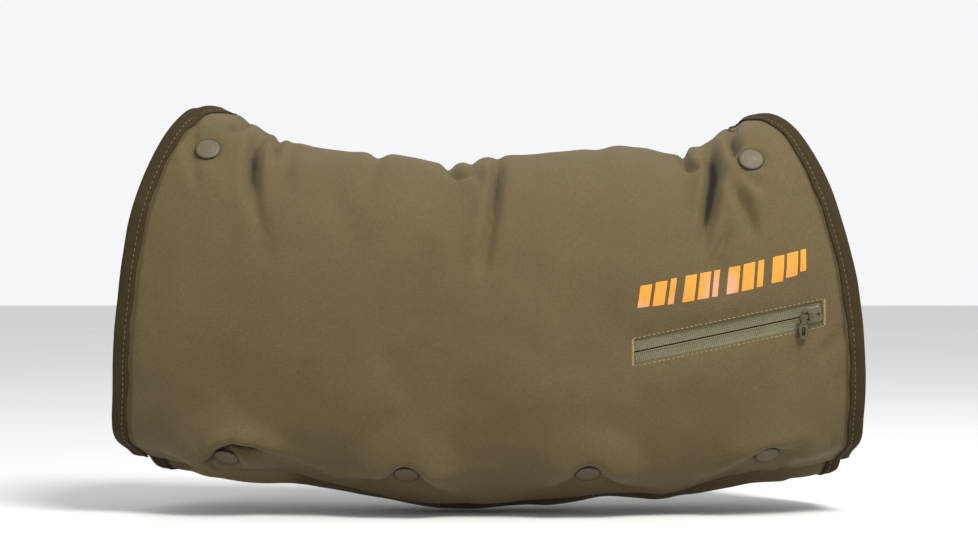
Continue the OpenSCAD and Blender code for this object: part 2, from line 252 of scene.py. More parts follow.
# Folds: points in the front view, depth at each in mm, half width in px, crest heights on the two sides, crest distance.
# Going down, the first crest is on the right; going right, it is above.
FOLDS = [
    # left corner
    ([(200, 108), (194, 130), (192, 152), (194, 172), (200, 196)], [0.6, 2.4, 3.4, 2.2, 0], 4.5, 0.6, 1.3, 9),
    ([(250, 112), (241, 129), (232, 133), (221, 139)], [4.0, 4.6, 3.4, 0], 3.0, 0.4, 2.4, 8),
    ([(270, 124), (263, 136), (257, 147), (254, 160), (252.5, 178), (254, 200), (259, 222), (264, 246)],
     [0, 3.0, 6.6, 8.4, 7.2, 4.0, 1.8, 0], 6.4, 2.6, 1.4, 12),
    ([(286, 116), (280, 138), (276.5, 149), (274, 158), (270, 170)], [2.0, 5.0, 6.6, 3.6, 0], 3.4, 1.4, 0.8, 7),
    ([(296, 120), (288, 156), (287, 176), (290, 198)], [0.5, 1.4, 1.3, 0], 6.5, 0.8, 0.2, 12),
    ([(318, 150), (330, 190), (352, 240), (372, 290)], [0, 0.9, 0.9, 0], 16, 0.2, 0.2, 30),
    ([(384, 130), (378, 158), (372, 176), (362, 205)], [1.8, 2.6, 1.2, 0], 7.0, 0.7, 0.7, 14),
    # top middle
    ([(440, 150), (449, 166), (456, 174.5), (466, 175), (476, 171)], [1.6, 4.6, 5.6, 4.4, 0], 3.6, 1.6, 0.2, 8),
    ([(469, 158), (473, 167), (479, 181), (481, 196)], [0, 2.8, 3.0, 0], 3.8, 0.3, 1.0, 9),
    ([(498.5, 156), (498, 163), (497.5, 174), (495.5, 194), (491.5, 222), (486, 254), (481, 290)],
     [0, 2.6, 6.8, 6.8, 4.8, 2.8, 0], 4.8, 0.9, 2.4, 12),
    ([(520, 176), (536, 183), (552, 178)], [0, 1.1, 0], 8, 0.3, 0.3, 14),
    ([(604, 122), (598, 150), (588, 182), (584, 215)], [0.6, 1.0, 0.6, 0], 10, 0.4, 0.4, 20),
    ([(636, 132), (632, 150), (640, 176), (652, 205)], [0.6, 1.1, 0.8, 0], 10, 0.5, 0.3, 20),
    # right corner
    ([(678, 132), (684.5, 160), (688, 168), (696, 172), (703, 168)], [2.0, 6.0, 6.0, 4.2, 0], 3.8, 2.2, 0.2, 8),
    ([(706, 144), (709, 153), (712, 165), (713, 180), (710.5, 198), (707.5, 218), (704, 240), (700, 262)],
     [0, 4.0, 10.5, 13.5, 12.0, 8.0, 3.6, 0], 5.6, 3.0, 2.4, 11),
    ([(736, 108), (733, 128), (732.5, 143), (737, 160), (745, 176), (757, 187), (766, 190)],
     [1.5, 5.4, 8.0, 6.4, 4.8, 2.4, 0], 4.4, 0.2, 2.4, 9),
    ([(727, 172), (734, 188), (743, 205), (750, 223), (752, 244)], [0, 4.0, 5.2, 3.6, 0], 5.6, 1.2, 1.4, 12),
    ([(727, 222), (724, 238), (716, 256), (708, 270)], [0, 2.8, 2.4, 0], 3.8, 0.9, 0.9, 9),
    ([(796, 140), (806, 175), (812, 215), (812, 255)], [0, 1.2, 1.2, 0], 13, 0.2, 0.3, 22),
    # beside the zip
    ([(851, 322), (838, 336), (826, 350), (818, 366)], [0, 2.0, 2.0, 0], 6.5, 0.6, 0.9, 12),
    ([(846, 352), (842, 380), (836, 410)], [0, 1.2, 0], 9, 0.4, 0.4, 16),
    # lower left tuck
    ([(190, 470), (203, 463), (213, 456), (224, 447), (238, 444), (253, 447), (266, 455)],
     [2.0, 6.0, 9.0, 10.5, 10.0, 7.5, 2.0], 4.6, 5.0, 3.4, 11),
    ([(253, 447), (272, 455), (295, 463), (318, 472), (336, 480), (356, 487)], [1.5, 3.2, 2.8, 2.4, 1.8, 0], 3.4, 2.6, 0.2, 10),
    ([(234, 420), (235, 432), (236, 444)], [0, 2.0, 1.4], 3.2, 0.6, 0.6, 8),
    ([(200, 434), (207, 441), (217, 447)], [0, 1.4, 1.0], 3.4, 0.4, 0.4, 8),
    # scallops from snap to snap along the bottom
    ([(318, 487), (345, 484), (370, 480), (393, 476), (406, 474), (418, 477), (432, 485), (450, 493), (470, 501)],
     [0.8, 3.0, 3.8, 4.4, 3.6, 4.2, 3.2, 2.2, 0.6], 3.6, 3.0, 0.0, 12),
    ([(520, 499), (540, 494), (560, 486), (575, 478), (588, 473), (602, 476), (622, 484), (646, 490), (668, 492),
      (690, 489), (712, 481), (732, 468), (750, 457), (767, 452)],
     [0.6, 2.0, 3.2, 4.2, 3.6, 4.2, 3.6, 3.2, 3.0, 3.2, 3.6, 4.4, 4.4, 3.6], 3.6, 3.0, 0.0, 12),
    ([(767, 452), (784, 447), (800, 442), (816, 438)], [3.2, 2.8, 1.8, 0], 4.2, 1.8, 0.2, 9),
    ([(771, 455), (779, 463), (788, 472), (794, 482)], [3.0, 4.6, 3.6, 0.8], 3.4, 1.6, 2.0, 8),
    # carried on over the back
    ([(330, -60), (322, -20), (330, 20), (344, 64)], [0, 1.6, 1.8, 0], 11, 0.7, 0.7, 20),
    ([(640, 60), (654, 24), (650, -20), (636, -52)], [0, 2.0, 1.6, 0], 11, 0.7, 0.7, 20),
    ([(276, 112), (262, 66), (272, 20), (268, -16)], [0, 3.2, 2.0, 0], 7.5, 1.0, 1.0, 14),
    ([(694, 120), (704, 88), (700, 48), (706, 10)], [0, 3.8, 2.4, 0], 7.0, 1.0, 1.0, 13),
    ([(736, 100), (744, 72), (740, 40)], [0, 2.4, 0], 5.5, 0.9, 0.9, 11),
    ([(500, 128), (506, 96), (500, 60), (508, 20)], [0, 2.6, 1.6, 0], 8, 0.9, 0.9, 15),
    ([(436, 142), (428, 110), (434, 74)], [0.5, 2.0, 0], 7, 0.7, 0.7, 13),
    ([(384, 130), (390, 96), (380, 50)], [1.8, 1.8, 0], 8, 0.7, 0.7, 14),
    ([(600, -130), (560, -146), (520, -150), (470, -140)], [0, 1.4, 1.4, 0], 9, 0.6, 0.6, 16),
    ([(180, -90), (215, -104), (250, -100)], [1.2, 1.6, 0], 9, 0.5, 0.5, 14),
    ([(800, -84), (765, -100), (728, -96)], [1.2, 1.6, 0], 9, 0.5, 0.5, 14),
]


def fold_relief(X, Y):
    """Height of all folds at points of the unrolled front view, in mm, and how much of it lies in sharp valleys."""
    out = np.zeros(X.shape)
    flat_x, flat_y, flat = X.ravel(), Y.ravel(), out.ravel()
    for pts, depth, w, hp, hm, wr in FOLDS:
        pts = np.array(pts, float)
        depth = np.array(depth, float)
        pad_px = 4 * max(w, wr)
        lo, hi = pts.min(0) - pad_px, pts.max(0) + pad_px
        near = np.nonzero((flat_x > lo[0]) & (flat_x < hi[0]) & (flat_y > lo[1]) & (flat_y < hi[1]))[0]
        if not len(near):
            continue
        # a finer, rounder line through the same points
        k = np.arange(len(pts))
        fine = np.linspace(0, len(pts) - 1, 8 * (len(pts) - 1) + 1)
        padded = np.vstack([2 * pts[0] - pts[1], pts, 2 * pts[-1] - pts[-2]])
        i = np.minimum(fine.astype(int), len(pts) - 2)
        f = (fine - i)[:, None]
        a, b, c, d = padded[i], padded[i + 1], padded[i + 2], padded[i + 3]
        line = 0.5 * (2 * b + (c - a) * f + (2 * a - 5 * b + 4 * c - d) * f * f + (3 * b - a - 3 * c + d) * f ** 3)
        v_at = np.interp(fine, k, depth)
        q = np.stack([flat_x[near], flat_y[near]], -1)
        best = np.full(len(near), 1e9)
        side = np.zeros(len(near))
        vd = np.zeros(len(near))
        for j in range(len(line) - 1):
            s, e = line[j], line[j + 1]
            dv = e - s
            r = np.clip(((q - s) @ dv) / max(dv @ dv, 1e-9), 0, 1)
            off = q - s - r[:, None] * dv
            dist = np.hypot(off[:, 0], off[:, 1])
            m = dist < best
            best[m] = dist[m]
            side[m] = -np.sign(dv[0] * (q[m, 1] - s[1]) - dv[1] * (q[m, 0] - s[0]))
            vd[m] = (v_at[j] + (v_at[j + 1] - v_at[j]) * r)[m]
        strength = vd / max(depth.max(), 1e-9)
        crest = np.where(side > 0, hp, hm) * strength
        rr = best / wr
        flat[near] += -vd * np.exp(-((best / w) ** 2)) + crest * rr ** 2 * np.exp(1 - rr ** 2)
    return flat.reshape(X.shape)


def waves(x, y, seed, lengths, heights):
    """A slow, seeded, even unevenness."""
    rng = np.random.default_rng(seed)
    out = np.zeros(np.broadcast(x, y).shape)
    for length, height in zip(lengths, heights):
        for _ in range(5):
            a, ph = rng.uniform(0, 2 * np.pi, 2)
            f = 2 * np.pi / (length * rng.uniform(0.75, 1.3))
            out = out + height / 2.2 * np.sin(f * (np.cos(a) * x + np.sin(a) * y) + ph)
    return out


_ts = np.linspace(-4.2, 14.6, 1200)
_arc = np.concatenate([[0], np.cumsum(np.linalg.norm(np.diff(section(_ts), axis=0), axis=1))])


def arc(t):
    return np.interp(t, _ts, _arc)


# The zip window: rows of the cloth follow its long edges.
W_HALF, W_LONG = 6.5, 55.0


def zip_row(u, y0):
    """The t at which column u crosses the line y = y0 of the zip's frame."""
    lo, hi = np.full_like(u, -1.6), np.full_like(u, 1.6)
    for _ in range(40):
        m = (lo + hi) / 2
        y = in_zip(surf(u, m))[1]
        up = y < y0
        lo, hi = np.where(up, m, lo), np.where(up, hi, m)
    return (lo + hi) / 2


def zip_column(x0):
    lo, hi = 0.2, 0.99
    for _ in range(40):
        m = (lo + hi) / 2
        um = np.array([m])
        if in_zip(surf(um, zip_row(um, 0.0)))[0][0] < x0:
            lo = m
        else:
            hi = m
    return (lo + hi) / 2


U_W0, U_W1 = zip_column(-W_LONG), zip_column(W_LONG)

# How the shell lies round the zip: it dips to the tape that it is sewn to.
_f = np.meshgrid(np.linspace(0.36, 0.94, 40), np.linspace(-0.9, 0.5, 40), indexing="ij")
_q = in_zip(surf(_f[0], _f[1]))
_k = (np.abs(_q[0]) < 66) & (np.abs(_q[1]) < 18)
_A = lambda x, y: np.stack([np.ones_like(x), x, y, x * x, x * y, y * y, x ** 3, x * x * y, x * y * y, y ** 3, x ** 4], -1)
_c = np.linalg.lstsq(_A(_q[0][_k] / 50, _q[1][_k] / 50), _q[2][_k], rcond=None)[0]


def skin_w(x, y):
    return _A(np.asarray(x, float) / 50, np.asarray(y, float) / 50) @ _c


def lip_dip(x):
    return 1.15 - 0.8 * np.clip(np.abs(x) / 55, 0, 1.1) ** 2


SIM = {"field": None}


def settled(u, t):
    """The simulated cloth's own offset at any place, by cubic interpolation of its grid."""
    g = SIM["field"]
    if g is None:
        return np.zeros(np.broadcast(u, t).shape)
    field, u0, u1, a0, a1 = g
    n, m = field.shape
    x = np.clip((u - u0) / (u1 - u0) * (n - 1), 0, n - 1.001)
    y = np.clip((arc(t) - a0) / (a1 - a0) * (m - 1), 0, m - 1.001)
    i, j = x.astype(int), y.astype(int)
    f, h = x - i, y - j

    def cubic(q):
        return (0.5 * (-q + 2 * q * q - q ** 3), 0.5 * (2 - 5 * q * q + 3 * q ** 3), 0.5 * (q + 4 * q * q - 3 * q ** 3), 0.5 * (q ** 3 - q * q))

    out = 0
    for k, wk in enumerate(cubic(f)):
        for l, wl in enumerate(cubic(h)):
            out = out + wk * wl * field[np.clip(i + k - 1, 0, n - 1), np.clip(j + l - 1, 0, m - 1)]
    return out


def relief(u, t):
    """How far the shell's outer face stands off the plain tube, outward, in mm."""
    u, t = np.broadcast_arrays(np.asarray(u, float), np.asarray(t, float))
    p = surf(u, t)
    X, Y = unrolled(u, t)
    front_hem = 1 - sm(-2.9, -2.5, t)
    back_hem = sm(11.8, 12.4, t)
    fold = fold_relief(X, Y)
    d = fold * (1 - back_hem) + settled(u, t) * (1 - 0.9 * sm(0.5, 2.6, -fold))
    a, b = p[..., 0], arc(t)
    quiet = 1 - 0.55 * sm(0.3, 0.5, u) * (1 - sm(1.2, 1.8, np.abs(t)))
    d = d + waves(a, b, 3, [90, 48], [0.9, 0.45]) * quiet + waves(a, b, 5, [24, 13], [0.13, 0.05])
    # stuffed between the bindings: a low crown, and little dents where the tape gathers the edge
    edge = (1 - np.abs(u)) * 190
    d = d + 0.9 * sm(9, 30, edge) - 0.35 * (1 - sm(6, 14, edge))
    ripple = np.sin(2 * np.pi * b / 7.3 + 1.7 * np.sin(b / 19.0)) * (0.6 + 0.4 * np.sin(b / 31.0))
    d = d + 0.16 * ripple * np.exp(-(((edge - 11.5) / 5.0) ** 2))
    # billows round the snaps
    m = np.ones(p.shape[:-1])
    for i, c in enumerate(CAPS):
        r = np.linalg.norm(p - c, axis=-1)
        m = m * sm(7.3, 10.4, r)
        d = d + (1.3 if i < 6 else 0.9) * sm(8.5, 17, r) * (1 - sm(19, 44, r))
        if i < 4:
            n = unit(np.array(ROW[i][1]))
            up = unit(np.array([0, 0, 1.0]) - n[2] * n)
            d = d + (4.6, 3.6, 3.6, 2.4)[i] * sm(7.4, 13.5, r) * (1 - sm(17, 36, r)) * sm(-3, 6, (p - c) @ up)
    d = d * m
    # the zip
    x, y, w = in_zip(p)
    e = np.maximum(np.abs(x) - W_LONG, np.abs(y) - W_HALF)
    close = np.abs(w) < 25
    keep = np.where(close, sm(0.5, 13, e), 1)
    d = d * keep - np.where(close, lip_dip(x) * (1 - sm(0, 7, e)), 0)
    # hems are thin and flat
    d = d * (1 - 0.75 * back_hem) * (1 - 0.45 * front_hem)
    # never further in than the padding allows
    room = pad(u, t) - 0.8 + 6.5 * sm(7, 22, edge) * (1 - hem(t))
    d = np.where(d < 0, -room * np.tanh(-d / np.maximum(room, 0.4)), d)
    return d


def layer_point(u, t, depth, share=1.0, d=None):
    """A point of a layer: depth below the plain tube, carried by the sag and by a share of the shell's relief."""
    p = surf(u, t)
    n = outward(u, t)
    d = relief(u, t) if d is None else d
    return p + settle(u, t, p) - (depth - share * d)[..., None] * n


# ---------------------------------------------------------------- meshes
def put(name, verts, faces, material, uv=None, sharp=40):
    me = bpy.data.meshes.new(name)
    me.from_pydata((np.asarray(verts, float) * MM).tolist(), [], faces if isinstance(faces, list) else faces.tolist())
    if uv is not None:
        layer = me.uv_layers.new(name="Cloth")
        at = np.empty(len(me.loops), np.int32)
        me.loops.foreach_get("vertex_index", at)
        layer.data.foreach_set("uv", np.asarray(uv, np.float32)[at].ravel())
    me.polygons.foreach_set("use_smooth", np.ones(len(me.polygons), bool))
    if sharp:
        me.set_sharp_from_angle(angle=math.radians(sharp))
    me.materials.append(material)
    me.update()
    o = bpy.data.objects.new(name, me)
    bpy.context.scene.collection.objects.link(o)
    return o


def slab(outer, inner, uv, hole=None):
    """A closed sheet between two grids of points. hole = (i0, i1, j0, j1) leaves those cells open."""
    nu, nt = outer.shape[:2]
    k = nu * nt
    idx = np.arange(k).reshape(nu, nt)
    keep = np.ones((nu - 1, nt - 1), bool)
    if hole:
        keep[hole[0]:hole[1], hole[2]:hole[3]] = False
    a, b, c, d = idx[:-1, :-1], idx[1:, :-1], idx[1:, 1:], idx[:-1, 1:]
    top = np.stack([a, b, c, d], -1)[keep]
    faces = [top, top[:, ::-1] + k]
    padk = np.zeros((nu + 1, nt + 1), bool)
    padk[1:-1, 1:-1] = keep
    for p, q, other in ((a, b, padk[1:-1, :-2]), (b, c, padk[2:, 1:-1]), (c, d, padk[1:-1, 2:]), (d, a, padk[:-2, 1:-1])):
        m = keep & ~other
        faces.append(np.stack([q[m], p[m], p[m] + k, q[m] + k], -1))
    faces = np.vstack(faces)
    verts = np.vstack([outer.reshape(-1, 3), inner.reshape(-1, 3)])
    uvs = np.vstack([uv.reshape(-1, uv.shape[-1])] * 2)
    used, inv = np.unique(faces, return_inverse=True)
    return verts[used], inv.reshape(faces.shape), uvs[used]


def mark(o, values, name="crease"):
    """A value at each vertex, for the materials."""
    at = o.data.attributes.new(name, "FLOAT", "POINT")
    at.data.foreach_set("value", np.asarray(values, np.float32))


def join_parts(parts):
    verts, faces, uvs, n = [], [], [], 0
    for v, f, *rest in parts:
        verts.append(np.asarray(v, float))
        faces += [[i + n for i in q] for q in (f.tolist() if hasattr(f, "tolist") else f)]
        uvs.append(rest[0] if rest else np.zeros((len(v), 2)))
        n += len(v)
    return np.vstack(verts), faces, np.vstack(uvs)


def lathe(profile, seg=72):
    """A closed turned solid. profile runs from the axis, round the outside, back to the axis, as (r, z)."""
    prof = np.array(profile, float)
    ang = np.linspace(0, 2 * np.pi, seg, endpoint=False)
    verts, faces, rings = [], [], []
    for r, z in prof:
        if r < 1e-6:
            rings.append([len(verts)])
            verts.append((0, 0, z))
        else:
            rings.append(list(range(len(verts), len(verts) + seg)))
            verts += [(r * math.cos(a), r * math.sin(a), z) for a in ang]
    for a, b in zip(rings[:-1], rings[1:]):
        for i in range(seg):
            j = (i + 1) % seg
            if len(a) == 1 and len(b) == 1:
                continue
            if len(a) == 1:
                faces.append([a[0], b[i], b[j]])
            elif len(b) == 1:
                faces.append([a[j], a[i], b[0]])
            else:
                faces.append([a[i], b[i], b[j], a[j]])
    return np.array(verts), faces


def basis(o, n, x=(1, 0, 0)):
    n = unit(np.array(n, float))
    x = np.array(x, float)
    ex = unit(x - (x @ n) * n)
    return np.array(o, float), ex, np.cross(n, ex), n


def placed(v, b):
    o, ex, ey, n = b
    return o + v[:, :1] * ex + v[:, 1:2] * ey + v[:, 2:3] * n


def stitches(points, normals, pitch, length, r, rise=0.0, lean=0.0, seed=1):
    """Thread lengths along a line on the cloth."""
    points, normals = np.asarray(points, float), unit(np.asarray(normals, float))
    step = np.linalg.norm(np.diff(points, axis=0), axis=1)
    s = np.concatenate([[0], np.cumsum(step)])
    n = max(1, int(s[-1] / pitch))
    rng = np.random.default_rng(seed)
    at = (np.arange(n) + 0.5) * s[-1] / n
    c = np.stack([np.interp(at, s, points[:, k]) for k in range(3)], -1)
    nn = unit(np.stack([np.interp(at, s, normals[:, k]) for k in range(3)], -1))
    ahead = np.stack([np.interp(np.minimum(at + 0.6, s[-1]), s, points[:, k]) for k in range(3)], -1)
    back = np.stack([np.interp(np.maximum(at - 0.6, 0), s, points[:, k]) for k in range(3)], -1)
    d = unit(ahead - back)
    side = unit(np.cross(nn, d))
    d = unit(d + side * (lean + rng.normal(0, 0.05, (n, 1))))
    side = unit(np.cross(nn, d))
    nn = np.cross(d, side)
    seg, rows = 7, np.linspace(-1, 1, 7)
    prof_r = np.array([0.0, 0.72, 0.97, 1.0, 0.97, 0.72, 0.0])
    ang = np.linspace(0, 2 * np.pi, seg, endpoint=False)
    verts, faces, base = [], [], 0
    sag = np.array([-0.5, -0.12, 0.02, 0.06, 0.02, -0.12, -0.5]) * r
    for i in range(n):
        l = length / 2 * rng.uniform(0.93, 1.06)
        ring_at = []
        for k, (x, pr) in enumerate(zip(rows, prof_r)):
            mid = c[i] + d[i] * x * l + nn[i] * (rise + sag[k])
            if pr == 0:
                verts.append(mid)
                ring_at.append([base])
                base += 1
            else:
                for a in ang:
                    verts.append(mid + side[i] * math.cos(a) * r * pr + nn[i] * math.sin(a) * r * pr * 0.8)
                ring_at.append(list(range(base, base + seg)))
                base += seg
        for a, b in zip(ring_at[:-1], ring_at[1:]):
            for q in range(seg):
                w = (q + 1) % seg
                if len(a) == 1:
                    faces.append([a[0], b[w], b[q]])
                elif len(b) == 1:
                    faces.append([a[q], a[w], b[0]])
                else:
                    faces.append([a[q], a[w], b[w], b[q]])
    return np.array(verts), faces


# ---------------------------------------------------------------- materials
def srgb(r, g, b):
    f = lambda c: c / 12.92 if c <= 0.04045 else ((c + 0.055) / 1.055) ** 2.4
    return tuple(f(c / 255) for c in (r, g, b)) + (1.0,)


class Mat:
    def __init__(self, name, rough=0.8, metal=0.0, sheen=0.0, sheen_rough=0.5, sheen_tint=(1, 1, 1, 1), spec=0.5, coat=0.0):
        self.m = bpy.data.materials.new(name)
        self.m.use_nodes = True
        self.nt = self.m.node_tree
        self.b = self.nt.nodes["Principled BSDF"]
        self.b.inputs["Roughness"].default_value = rough
        self.b.inputs["Metallic"].default_value = metal
        self.b.inputs["Specular IOR Level"].default_value = spec
        if sheen:
            self.b.inputs["Sheen Weight"].default_value = sheen
            self.b.inputs["Sheen Roughness"].default_value = sheen_rough
            self.b.inputs["Sheen Tint"].default_value = sheen_tint
        if coat:
            self.b.inputs["Coat Weight"].default_value = coat
            self.b.inputs["Coat Roughness"].default_value = 0.25
        self.height = None

    def node(self, kind, **values):
        n = self.nt.nodes.new(kind)
        for k, v in values.items():
            setattr(n, k, v)
        return n

    def link(self, a, b):
        self.nt.links.new(a, b)

    def coord(self, kind="UV", scale=(1, 1, 1), rot=0.0):
        tc = self.node("ShaderNodeTexCoord")
        mp = self.node("ShaderNodeMapping")
        mp.inputs["Scale"].default_value = scale
        mp.inputs["Rotation"].default_value = (0, 0, rot)
        self.link(tc.outputs[kind], mp.inputs["Vector"])
        return mp.outputs["Vector"]

    def noise(self, vec, scale, detail=3, rough=0.55, distort=0.0):
        n = self.node("ShaderNodeTexNoise")
        n.inputs["Scale"].default_value = scale
        n.inputs["Detail"].default_value = detail
        n.inputs["Roughness"].default_value = rough
        n.inputs["Distortion"].default_value = distort
        self.link(vec, n.inputs["Vector"])
        return n.outputs["Fac"]

    def wave(self, vec, scale, direction="X", distort=0.0, dscale=1.0, profile="SIN"):
        n = self.node("ShaderNodeTexWave", wave_type="BANDS", bands_direction=direction, wave_profile=profile)
        n.inputs["Scale"].default_value = scale
        n.inputs["Distortion"].default_value = distort
        n.inputs["Detail"].default_value = 1.0
        n.inputs["Detail Scale"].default_value = dscale
        self.link(vec, n.inputs["Vector"])
        return n.outputs["Fac"]

    def math(self, op, a, b=0.5, c=None, clamp=False):
        n = self.node("ShaderNodeMath", operation=op, use_clamp=clamp)
        for i, v in enumerate((a, b, c)):
            if v is None:
                continue
            if isinstance(v, (int, float)):
                n.inputs[i].default_value = v
            else:
                self.link(v, n.inputs[i])
        return n.outputs[0]

    def span(self, v, a, b, lo, hi, smooth=True):
        n = self.node("ShaderNodeMapRange", interpolation_type="SMOOTHSTEP" if smooth else "LINEAR")
        for i, x in zip((1, 2, 3, 4), (a, b, lo, hi)):
            n.inputs[i].default_value = x
        self.link(v, n.inputs[0])
        return n.outputs[0]

    def ramp(self, v, stops):
        n = self.node("ShaderNodeValToRGB")
        e = n.color_ramp.elements
        while len(e) < len(stops):
            e.new(0.5)
        for i, (at, c) in enumerate(stops):
            e[i].position, e[i].color = at, c
        self.link(v, n.inputs["Fac"])
        return n.outputs["Color"]

    def blend(self, f, a, b, kind="MIX"):
        n = self.node("ShaderNodeMix", data_type="RGBA", blend_type=kind)
        if isinstance(f, (int, float)):
            n.inputs[0].default_value = f
        else:
            self.link(f, n.inputs[0])
        for i, v in ((6, a), (7, b)):
            if isinstance(v, tuple):
                n.inputs[i].default_value = v
            else:
                self.link(v, n.inputs[i])
        return n.outputs[2]

    def colour(self, c):
        if isinstance(c, tuple):
            self.b.inputs["Base Color"].default_value = c
        else:
            self.link(c, self.b.inputs["Base Color"])

    def roughness(self, v):
        self.link(v, self.b.inputs["Roughness"])

    def bump(self, v, distance, strength=1.0):
        n = self.node("ShaderNodeBump")
        n.inputs["Strength"].default_value = strength
        n.inputs["Distance"].default_value = distance
        self.link(v, n.inputs["Height"])
        if self.height is not None:
            self.link(self.height, n.inputs["Normal"])
        self.height = n.outputs["Normal"]
        self.link(self.height, self.b.inputs["Normal"])


def scaled(c, f):
    return tuple(min(1.0, x * f) for x in c[:3]) + (1.0,)


def cloth_material(name, base, fleck=0.24, mottle=0.10, pitch=1.05, bump=0.00012, rough=0.88, sheen=0.10, tint=(0.85, 0.8, 0.62, 1)):
    """A brushed plain weave, drawn on the cloth's own coordinates, where 1 is 100 mm."""
    m = Mat(name, rough, sheen=sheen, sheen_rough=0.45, sheen_tint=tint, spec=0.25)
    uv = m.coord("UV")
    warp = m.noise(m.coord("UV", (150, 28, 1)), 1.0, 2)
    weft = m.noise(m.coord("UV", (28, 150, 1)), 1.0, 2)
    threads = m.math("ADD", warp, weft)
    threads = m.math("MULTIPLY", threads, 0.5)
    grain = m.noise(uv, 110, 2, 0.7)
    slow = m.noise(uv, 1.6, 4, 0.6)
    wash = m.noise(uv, 7.0, 3, 0.6)
    c = m.ramp(threads, [(0.30, scaled(base, 1 - fleck * 1.5)), (0.5, base), (0.70, scaled(base, 1 + fleck * 1.6))])
    c = m.blend(0.55, c, m.ramp(grain, [(0.3, scaled(base, 1 - fleck)), (0.7, scaled(base, 1 + fleck))]))
    c = m.blend(m.span(slow, 0.35, 0.65, 0, mottle * 2.2), c, scaled((base[0] * 0.9, base[1] * 0.93, base[2]), 0.8))
    c = m.blend(m.span(wash, 0.45, 0.75, 0, mottle), c, scaled(base, 1.35))
    # painted shade: from the crease values the cloth turns nearly black down in deep folds and along the binding's
    # inner edge, where shade falls
    crease = m.node("ShaderNodeAttribute", attribute_type="GEOMETRY", attribute_name="crease")
    c = m.blend(crease.outputs["Fac"], c, scaled((base[0] * 0.95, base[1] * 0.85, base[2] * 0.7), 0.13))
    # painted light: the cloth on that strip is made twice as bright, standing in for light that its shadow takes away
    light = m.node("ShaderNodeAttribute", attribute_type="GEOMETRY", attribute_name="painted_light_strip")
    c = m.blend(light.outputs["Fac"], c, scaled(base, 2.1))
    m.colour(c)
    m.roughness(m.span(grain, 0.3, 0.7, rough - 0.06, min(1, rough + 0.06), False))
    a = m.wave(m.coord("UV", (1, 1, 1)), 31.4 / pitch, "X", 1.2, 6)
    b = m.wave(m.coord("UV", (1, 1, 1)), 31.4 / pitch, "Y", 1.2, 6)
    weave = m.math("MULTIPLY", a, b)
    m.bump(weave, bump)
    m.bump(threads, bump * 1.2)
    m.bump(grain, bump * 0.7)
    return m.m


BASE = srgb(85, 73, 47)
SHELL = cloth_material("shell_fabric_cloth", BASE)


def fleece_material():
    m = Mat("lining_fleece_cloth", 0.95, sheen=0.6, sheen_rough=0.6, sheen_tint=(0.8, 0.74, 0.6, 1), spec=0.1)
    base = srgb(78, 69, 49)
    uv = m.coord("UV")
    pile = m.noise(uv, 60, 4, 0.75, 0.6)
    tuft = m.noise(uv, 16, 3, 0.6, 0.3)
    slow = m.noise(uv, 2.2, 3)
    c = m.ramp(pile, [(0.28, scaled(base, 0.62)), (0.55, base), (0.78, scaled(base, 1.5))])
    c = m.blend(m.span(slow, 0.35, 0.7, 0, 0.3), c, scaled(base, 1.25))
    m.colour(c)
    m.bump(tuft, 0.0007)
    m.bump(pile, 0.0005)
    return m.m


def tape_material(name, base, across=0.75, along=2.2, bump=0.00012, rough=0.7, sheen=0.15):
    """A ribbed tape. Its own coordinates run along it in x and across it in y, where 1 is 100 mm."""
    m = Mat(name, rough, sheen=sheen, sheen_rough=0.4, sheen_tint=(0.8, 0.74, 0.55, 1), spec=0.15)
    rib = m.wave(m.coord("UV"), 31.4 / across, "X", 0.6, 4)
    line = m.wave(m.coord("UV"), 31.4 / along, "Y", 0.4, 4)
    fuzz = m.noise(m.coord("UV", (60, 160, 1)), 1.0, 3, 0.65)
    slow = m.noise(m.coord("UV"), 3.0, 3)
    c = m.ramp(fuzz, [(0.3, scaled(base, 0.78)), (0.5, base), (0.72, scaled(base, 1.28))])
    c = m.blend(m.span(rib, 0.0, 0.5, 0.35, 0.0), c, scaled(base, 0.55))
    c = m.blend(m.span(slow, 0.4, 0.7, 0, 0.35), c, scaled(base, 1.4))
    m.colour(c)
    m.roughness(m.span(fuzz, 0.3, 0.7, rough - 0.08, rough + 0.1, False))
    m.bump(rib, bump)
    m.bump(line, bump * 0.6)
    m.bump(fuzz, bump * 0.5)
    return m.m


def thread_material(name, base):
    m = Mat(name, 0.6, sheen=0.2, sheen_tint=(1, 0.95, 0.8, 1), spec=0.4)
    tc = m.coord("Object", (1, 1, 1))
    n = m.noise(tc, 900, 2)
    slow = m.noise(tc, 40, 2)
    c = m.ramp(n, [(0.35, scaled(base, 0.75)), (0.65, scaled(base, 1.2))])
    c = m.blend(m.span(slow, 0.35, 0.7, 0, 0.4), c, scaled(base, 0.7))
    m.colour(c)
    m.bump(m.wave(tc, 330, "DIAGONAL", 2.0), 0.00008)
    return m.m


def metal_material(name, base, rough=0.38, metal=0.7, wear=None, spots=0.3, coat=0.0):
    m = Mat(name, rough, metal, spec=0.5, coat=coat)
    tc = m.coord("Object")
    n = m.noise(tc, 260, 5, 0.65)
    fine = m.noise(m.coord("Object", (1, 1, 6)), 700, 2)
    slow = m.noise(tc, 60, 3)
    c = m.ramp(n, [(0.3, scaled(base, 1 - spots * 0.6)), (0.55, base), (0.8, scaled(base, 1 + spots))])
    if wear:
        c = m.blend(m.span(m.math("MULTIPLY", n, slow), 0.30, 0.42, 0, 0.8), c, wear)
    m.colour(c)
    m.roughness(m.span(n, 0.25, 0.75, max(0.05, rough - 0.12), rough + 0.16, False))
    m.bump(fine, 0.00003)
    m.bump(n, 0.00004)
    return m.m


